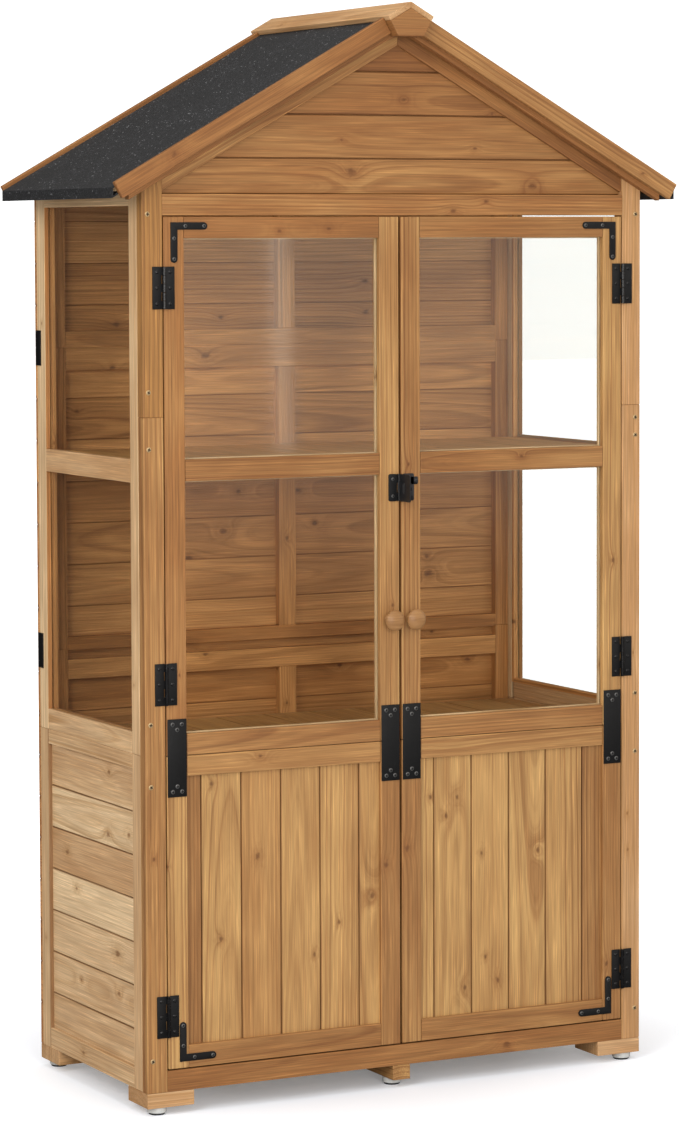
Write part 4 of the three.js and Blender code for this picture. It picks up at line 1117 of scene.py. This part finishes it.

# %% [markdown]
# Ironwork. Hinges, corner brackets, joining plates and the hasp are pressed steel with a satin black
# powder coat, which has a very fine orange peel and is rubbed here and there. Their screw heads are
# painted light grey, a painted highlight that shows them as small light dots, and the hasp's strap and
# staple a lighter black, a painted highlight on their edges. The screws in the posts are yellow zinc.

# %% Steel finishes


def coated_steel(name, colour, wear_and_painted_light, roughness, metallic, peel_size=1.2, shine=0.5):
    """Steel under a thin coat, with peel, cloudy gloss and lighter spots of wear; in the screws and the
    hasp the lighter colours are a painted highlight.
    """
    mix = recipe(name)
    spot = mix.spot()
    peel = mix.noise(spot, 1 / (peel_size * MM), 3.0)
    cloud = mix.noise(spot, 90.0, 4.0, 0.7)
    tint = mix.blend(mix.fade(cloud, 0.6, 0.8, 0.0, 0.7), linear(colour), linear(wear_and_painted_light))
    gloss = mix.fade(cloud, 0.3, 0.7, roughness - 0.08, roughness + 0.08)
    return mix.finish(mix.skin(tint, gloss, peel, 0.3, 0.08, Metallic=metallic, Specular_IOR_Level=shine))


black_steel = coated_steel("black powder-coated steel", "#0f0f10", "#202020", 0.6, 0.0, shine=0.3)
black_lacquer = coated_steel("black lacquered steel", "#141415", "#3a3a3c", 0.24, 0.2)
# Screw heads painted light grey: a painted highlight that shows them as light dots
screw_steel_painted_light = coated_steel("screw steel painted light grey", "#5a5957", "#8c8a86", 0.38, 0.4, 0.8)
# A lighter black for the hasp's strap and staple: a painted highlight on their edges
steel_painted_lighter = coated_steel("black steel painted lighter for highlights", "#2a2a2c", "#6a6a6c", 0.33, 0.5)
# Dark colours for the cross of a screw: painted shade in its recess
recess_shade_black = coated_steel("black screw recess, painted shade", "#161514", "#22201e", 0.7, 0.0, 0.8)
zinc_screw = coated_steel("yellow zinc screw steel", "#b4986c", "#d0bd96", 0.45, 0.3, 0.8)
recess_shade_brown = coated_steel("screw recess, painted shade", "#4a3722", "#5c4630", 0.7, 0.0, 0.8)
iron = [black_steel, screw_steel_painted_light, recess_shade_black, black_lacquer]
SCREW, RECESS_SHADE, LACQUER = 1, 2, 3
print("steel:", ", ".join(finish.name for finish in iron))

# %% [markdown]
# Screws. A screw shows only its head: a shallow dome with a cross pressed into it. The head is a spun
# profile, and the cross is two crossing slips, a hair above the dome, painted dark as the painted shade
# in the recess.

# %% Screw heads
DOME = 0.28
SMOOTH = 35
POST_SCREW_X = 421
POST_SCREW_Z = {"left": (71.5, 484, 577, 987, 1071.5, 1335), "right": (71.5, 484, 577, 987, 1015, 1335)}
screw_dice = random.Random("screws")


def block(bench, centre, size, ease=0, slot=0, turn_by=None):
    """A small block with eased edges."""
    part = bmesh.new()
    bmesh.ops.create_cube(part, size=1)
    bmesh.ops.scale(part, vec=size, verts=part.verts)
    if ease:
        soften(part, part.edges[:], ease)
    if turn_by:
        bmesh.ops.transform(part, matrix=turn_by, verts=part.verts)
    bmesh.ops.translate(part, vec=centre, verts=part.verts)
    join(bench, part, slot)


def steel(bench, body, node_name, coat=black_steel):
    """Makes ironwork a piece, named after the CAD node that it replaces."""
    piece(node_name + "_steel", bench, [coat, *iron[1:]], body, "black_iron", node_name, smooth=SMOOTH)


def screw(bench, x, y, z, radius, slots=(SCREW, RECESS_SHADE), angle=None):
    """A screw head on a face that looks to the front, its cross turned by the dice."""
    angle = screw_dice.uniform(0, 1.5) if angle is None else angle
    dome = radius * DOME
    profile = [(0, dome), (radius * 0.55, dome * 0.85), (radius * 0.9, dome * 0.35), (radius, 0)]
    turned(bench, profile, Vector((x, y, z)), FRONT, 16, slots[0])
    # The cross is painted dark, a painted shade in the recess
    for quarter in (0, math.pi / 2):
        size = (radius * 1.25, 0.3, radius * 0.42)
        spin = Matrix.Rotation(angle + quarter, 4, "Y")
        block(bench, Vector((x, y - dome * 0.9, z)), size, slot=slots[1], turn_by=spin)


post_screws = bmesh.new()
for name, side in SIDES.items():
    for z in POST_SCREW_Z[name]:
        screw(post_screws, side * POST_SCREW_X, 0, z, 3.9, slots=(0, 1))
piece("post_screws", post_screws, [zinc_screw, recess_shade_brown], "carcass", "black_iron", smooth=45)
print("post screws: 12")

# %% [markdown]
# Butt hinges. A leaf is a pressed plate whose edge is rolled round the pin in turn with the other
# leaf's, so the barrel shows five knuckles. The leaf is an eased block and each knuckle a spun ring.

# %% Hinges
IRON = 1.6
IRON_EASE = 0.4
HINGE_HALF = 31.5
LEAF_WIDTH = 18
LEAF_SCREWS = (-23.5, 0, 23.5)
KNUCKLE = 2.9
KNUCKLES = 5
KNUCKLE_GAP = 0.3
KNUCKLE_FOOT = 0.4
PIN = (396, -3.3)
HINGE_Z = {"upper": 1226, "middle": 636.5, "lower": 137}


def barrel(bench, x, y, low, high, radius):
    """A closed knuckle with eased rims."""
    rim = 0.35
    profile = [(0, low), (radius - rim, low), (radius, low + rim)]
    profile += [(radius, high - rim), (radius - rim, high), (0, high)]
    turned(bench, profile, Vector((x, y, 0)), UP, 28, LACQUER)


def hinge_leaf(side, z, on_post):
    """One leaf with its knuckles and screws."""
    bench = bmesh.new()
    edge = KNUCKLE + KNUCKLE_FOOT
    outward = side if on_post else -side
    pin = PIN[0] * side
    middle = pin + outward * (edge + LEAF_WIDTH) / 2
    block(bench, Vector((middle, -IRON / 2, z)), (LEAF_WIDTH - edge, IRON, 2 * HINGE_HALF), 0.35)
    pitch = 2 * HINGE_HALF / KNUCKLES
    for i in range(0 if on_post else 1, KNUCKLES, 2):
        centre = z - HINGE_HALF + (i + 0.5) * pitch
        reach = (pitch - KNUCKLE_GAP) / 2
        barrel(bench, pin, PIN[1], centre - reach, centre + reach, KNUCKLE)
        block(bench, Vector((pin + outward * edge / 2, -IRON / 2, centre)), (edge + 1, IRON, 2 * reach))
    for offset in LEAF_SCREWS:
        screw(bench, middle, -IRON, z + offset, 2.8, slots=(LACQUER, RECESS_SHADE))
    return bench


for name, side in SIDES.items():
    for spot, z in HINGE_Z.items():
        for leaf, body in (("post", "carcass"), ("door", f"{name}_door")):
            steel(hinge_leaf(side, z, leaf == "post"), body, f"hinge_{name}_{spot}_{leaf}_leaf")
print("hinges: 6")

# %% [markdown]
# Flat iron: the joining plates that hold each door's two halves together, the corner brackets, and two
# small plates on each side wall that hold the back panels' seams. All are stamped from sheet, so they
# are an outline with a thickness and a soft stamped edge.

# %% Plates and brackets
PLATE_Z = 525.5
PLATE_SIZE = (31, IRON, 117)
PLATE_X = {"hinge_side": 378.5, "meeting_side": 18.5}
PLATE_SCREWS = [(-7.5, 50.5), (7.5, 50.5), (0, 42.5), (0, -42.5), (-7.5, -50.5), (7.5, -50.5)]
BRACKET_REACH = 60
BRACKET_WIDTH = 11
BRACKET_CORNERS = (("upper", 384, 1323, -1), ("lower", 377, 67, 1))
EDGE_PLATE_SIZE = (IRON, 19, 55)
EDGE_PLATE_Y = 397.5


def stamped(bench, outline, thickness=IRON, ease=IRON_EASE):
    """A flat shape stamped from sheet, on the doors' face."""
    part = bmesh.new()
    extruded(part, part.faces.new([part.verts.new((x, 0, z)) for x, z in outline]), (0, -thickness, 0))
    bmesh.ops.recalc_face_normals(part, faces=part.faces)
    soften(part, [e for e in part.edges if all(v.co.y < -thickness / 2 for v in e.verts)], ease)
    join(bench, part)


def arc(x, z, radius, start, stop, count=10):
    """Points on an arc, in degrees."""
    angles = [math.radians(start + (stop - start) * i / count) for i in range(count + 1)]
    return [(x + radius * math.cos(a), z + radius * math.sin(a)) for a in angles]


def bracket(side, corner_x, corner_z, up):
    """A corner bracket whose arms run inwards and up or down from its outer corner."""
    width, half = BRACKET_WIDTH, BRACKET_WIDTH / 2
    reach = BRACKET_REACH - half
    outline = [(0, 0), *arc(-half, reach, half, 0, 180), (-width, width)]
    outline += arc(-reach, half, half, 90, 270)
    bench = bmesh.new()
    stamped(bench, [(side * (corner_x + x), corner_z + up * z) for x, z in outline])
    for x, z in ((-half, 24), (-half, reach), (-24, half), (-reach, half)):
        screw(bench, side * (corner_x + x), -IRON, corner_z + up * z, 2.9)
    return bench


for name, side in SIDES.items():
    for spot, x in PLATE_X.items():
        bench = bmesh.new()
        block(bench, Vector((side * x, -IRON / 2, PLATE_Z)), PLATE_SIZE, IRON_EASE)
        for over, up in PLATE_SCREWS:
            screw(bench, side * x + over, -IRON, PLATE_Z + up, 3.3)
        steel(bench, f"{name}_door", f"door_{name}_plate_{spot}")
for name, side in SIDES.items():
    for spot, x, z, up in BRACKET_CORNERS:
        bench = bracket(side, x, z, up)
        piece(f"door_{name}_bracket_{spot}", bench, iron, f"{name}_door", "black_iron", smooth=SMOOTH)
for name, side in SIDES.items():
    bench = bmesh.new()
    for z in BACK_SEAMS:
        centre = Vector((side * (HALF + IRON / 2), EDGE_PLATE_Y, z))
        block(bench, centre, EDGE_PLATE_SIZE, IRON_EASE)
    piece(f"edge_plates_{name}", bench, iron, "carcass", "black_iron", smooth=SMOOTH)
print("flat iron: 4 joining plates, 4 brackets, 4 edge plates")

# %% [markdown]
# The hasp. A plate on the left door carries a pin, a slotted strap swings on it, and a staple on the
# right door comes through the slot when the strap is laid over. In the photograph the strap stands out
# from the doors, so its edge and the staple's bar show side by side.

# %% Hasp
HASP_Z = 917.6
HASP_HALF = 21
HASP_PIN = (-3.6, -2.6)
HASP_KNUCKLE = 2.2
HASP_GAP = 0.15
STAPLE_X = 13.55
STAPLE_SHEET = (1.2, 0.35)
STAPLE_BAR = 3


def rounded(x, z, half_x, half_z, corner=3):
    """An outline with round corners about a centre."""
    spots = [(x + sx * (half_x - corner), z + sz * (half_z - corner), a)
             for sx, sz, a in ((1, 1, 0), (-1, 1, 90), (-1, -1, 180), (1, -1, 270))]
    return [point for px, pz, a in spots for point in arc(px, pz, corner, a, a + 90, 4)]


plate = bmesh.new()
edge = HASP_PIN[0] - HASP_KNUCKLE - KNUCKLE_FOOT
left = HASP_PIN[0] - 17
middle = (edge + left) / 2
stamped(plate, rounded(middle, HASP_Z, (edge - left) / 2, HASP_HALF))
for z in (HASP_Z - 14, HASP_Z + 14):
    barrel(plate, *HASP_PIN, z - 7 + HASP_GAP, z + 7 - HASP_GAP, HASP_KNUCKLE)
    block(plate, Vector((edge + 1.3, -IRON / 2, z)), (3.2, IRON, 14 - 2 * HASP_GAP))
for up in (-13, 13):
    screw(plate, middle, -IRON, HASP_Z + up, 2.7)
steel(plate, "left_door", "hasp_plate")

staple = bmesh.new()
stamped(staple, rounded(STAPLE_X, HASP_Z, 10, HASP_HALF), *STAPLE_SHEET)
stamped(staple, rounded(STAPLE_X + 10, HASP_Z + 10, 7, 6, 2.5), *STAPLE_SHEET)
screw(staple, STAPLE_X + 13, -0.85, HASP_Z + 10, 2.4, angle=0.4)
path = [(-0.6, 6), *arc(-4.1, 0, 6, 90, 270, 12), (-0.6, -6)]
for (y0, z0), (y1, z1) in zip(path, path[1:]):
    centre = Vector((STAPLE_X, (y0 + y1) / 2, HASP_Z + (z0 + z1) / 2))
    spin = Matrix.Rotation(math.atan2(z1 - z0, y1 - y0), 4, "X")
    size = (STAPLE_BAR, math.hypot(y1 - y0, z1 - z0) + 0.6, STAPLE_BAR)
    block(staple, centre, size, 0.5, turn_by=spin)
# The staple and strap take the lighter black, a painted highlight
steel(staple, "right_door", "hasp_staple", steel_painted_lighter)
dress("hasp_strap", steel_painted_lighter)
print("hasp: plate, strap, staple")

# %% [markdown]
# Knobs, turned from a pale close-grained wood and only waxed, so they are lighter than the doors. The
# profile goes from the foot on the door through a narrow neck to a flat dome. Their grain runs across
# the door, so the dome shows the figure as bowed lines.

# %% Knobs
KNOB = (18.5, 715)
KNOB_PROFILE = [
    (0, 0), (9, 0), (8.4, 1.2), (7.2, 3.2), (6.6, 5.6), (6.5, 8), (7.0, 10.6), (8.8, 13), (11.8, 14.6),
    (14.6, 15.3), (15.7, 16.1), (16, 17.2), (15.8, 18.4), (14.9, 20.1), (12.9, 21.9), (10, 23.3),
    (6.6, 24.3), (3.2, 24.85), (0, 25),
]


def waxed_birch(name):
    """A pale turned wood with fine grain across the knob."""
    mix = recipe(name)
    grain = mix.noise(mix.vector("MULTIPLY", mix.spot(), (25, 25, 420)), 1.0, 4.0, 0.65)
    tint = mix.ramp(grain, (0.3, linear("#855b32")), (0.7, linear("#a67a4a")))
    return mix.finish(mix.skin(tint, mix.fade(grain, 0.3, 0.7, 0.38, 0.5), grain, 0.2, IOR=1.45))


birch = waxed_birch("waxed turned birch")
for name, side in SIDES.items():
    knob = bmesh.new()
    turned(knob, KNOB_PROFILE, Vector((side * KNOB[0], 0, KNOB[1])), FRONT, 48)
    cad = f"door_{name}_knob"
    piece(cad + "_turned", knob, [birch], f"{name}_door", "turned_wood", cad, smooth=60)
print("knobs: 2")

# %% [markdown]
# The studio: a white floor that fades into a white background, and large soft lamps. The floor and the
# background glow white only for the camera and for what is seen through the sheets, so that the glow
# adds no light to the wood. Gloss sees a dim warm room instead, brighter towards the camera. The floor
# is lit like the rest and keeps the soft grey shadow under the cabinet, and its glow is weaker near the
# cabinet, a painted shadow that darkens the floor round it.

# %% Studio
ROOM = linear("#fff2e4")


def seen_directly(rays, mix):
    """1 for the camera and through a sheet, 0 for all other light."""
    return mix.math("MAXIMUM", rays["Is Camera Ray"], rays["Is Transmission Ray"])


def studio_paper(name):
    """White paper that glows where it is seen directly, less near the cabinet as a painted shadow."""
    mix = recipe(name)
    rays = mix.node("LightPath", {})
    seen = seen_directly(rays, mix)
    # The glow fades near the cabinet: a painted shadow on the floor round it
    glow = mix.math("MULTIPLY", seen, mix.fade(mix.length(mix.spot()), 0.25, 1.6, 0.18, 1.0))
    tint = mix.scale((0.96, 0.99, 1.04), mix.fade(seen, 0, 1, 0.85, 0.86))
    paper = mix.node("BsdfDiffuse", {"Color": tint})[0]
    glowing = mix.node("Emission", {"Color": linear("#ffffff"), "Strength": glow})[0]
    both = mix.node("AddShader", {0: paper, 1: glowing})[0]
    dim = mix.fade(mix.split(mix.spot())["Y"], -15.0, -6.0, 0.8, 0.02)
    in_gloss = mix.node("Emission", {"Color": ROOM, "Strength": dim})[0]
    return mix.finish(mix.node("MixShader", {0: rays["Is Glossy Ray"], 1: both, 2: in_gloss})[0])


def studio_air(world):
    """A white background to the eye, a soft fill on the wood, a dim room in the gloss."""
    mix = Recipe(world)
    rays = mix.node("LightPath", {})
    room = mix.fade(mix.split(mix.node("TexCoord", {})["Generated"])["Y"], -0.9, 0.1, 1.0, 0.03)
    level = mix.fade(seen_directly(rays, mix), 0, 1, 0.55, 1.3)
    level = mix.fade(rays["Is Glossy Ray"], 0, 1, level, room)
    hue = mix.blend(rays["Is Glossy Ray"], linear("#ffffff"), ROOM)
    return mix.finish(mix.node("Background", {"Color": hue, "Strength": level})[0], "OutputWorld")


def softbox(name, spot, aim, size, power, lean=0, colour=(1, 1, 1)):
    """A soft lamp at a point of the room, in metres, turned to another."""
    data = bpy.data.lights.new(name, "AREA")
    data.shape = "RECTANGLE"
    data.size, data.size_y = size
    data.energy = power
    data.color = colour
    lamp = add_to_scene(name, data)
    lamp.location = spot
    lamp.rotation_mode = "QUATERNION"
    lean_by = Quaternion((0, 0, 1), math.radians(lean))
    lamp.rotation_quaternion = (Vector(aim) - Vector(spot)).to_track_quat("-Z", "Y") @ lean_by


floor_bench = bmesh.new()
bmesh.ops.create_grid(floor_bench, x_segments=1, y_segments=1, size=30)
floor_mesh = bpy.data.meshes.new("floor")
floor_bench.to_mesh(floor_mesh)
floor_bench.free()
floor_mesh.materials.append(studio_paper("white studio paper"))
floor = add_to_scene("floor", floor_mesh)
bpy.context.scene.world = studio_air(bpy.data.worlds.new("studio"))

lamps = (
    ("key", (-3.6, -2.6, 2.6), (0, 0, 0.8), (2.2, 2.2), 95),
    ("front", (-1.2, -5.0, 1.5), (0, 0, 0.9), (1.6, 2.0), 84),
    ("fill", (4.2, -3.0, 1.8), (0, 0, 0.8), (2.0, 2.4), 21),
    ("top", (0, -0.4, 4.0), (0, 0, 0), (2.5, 2.5), 45),
    ("strip", (1.286, -3.2, 1.13), (0, 0, 1.13), (0.045, 0.66), 0.16, 1.7, (1.0, 0.9, 0.76)),
)
for lamp in lamps:
    softbox(*lamp)
bpy.context.scene.view_settings.view_transform = "Standard"
print("lamps:", len(lamps))
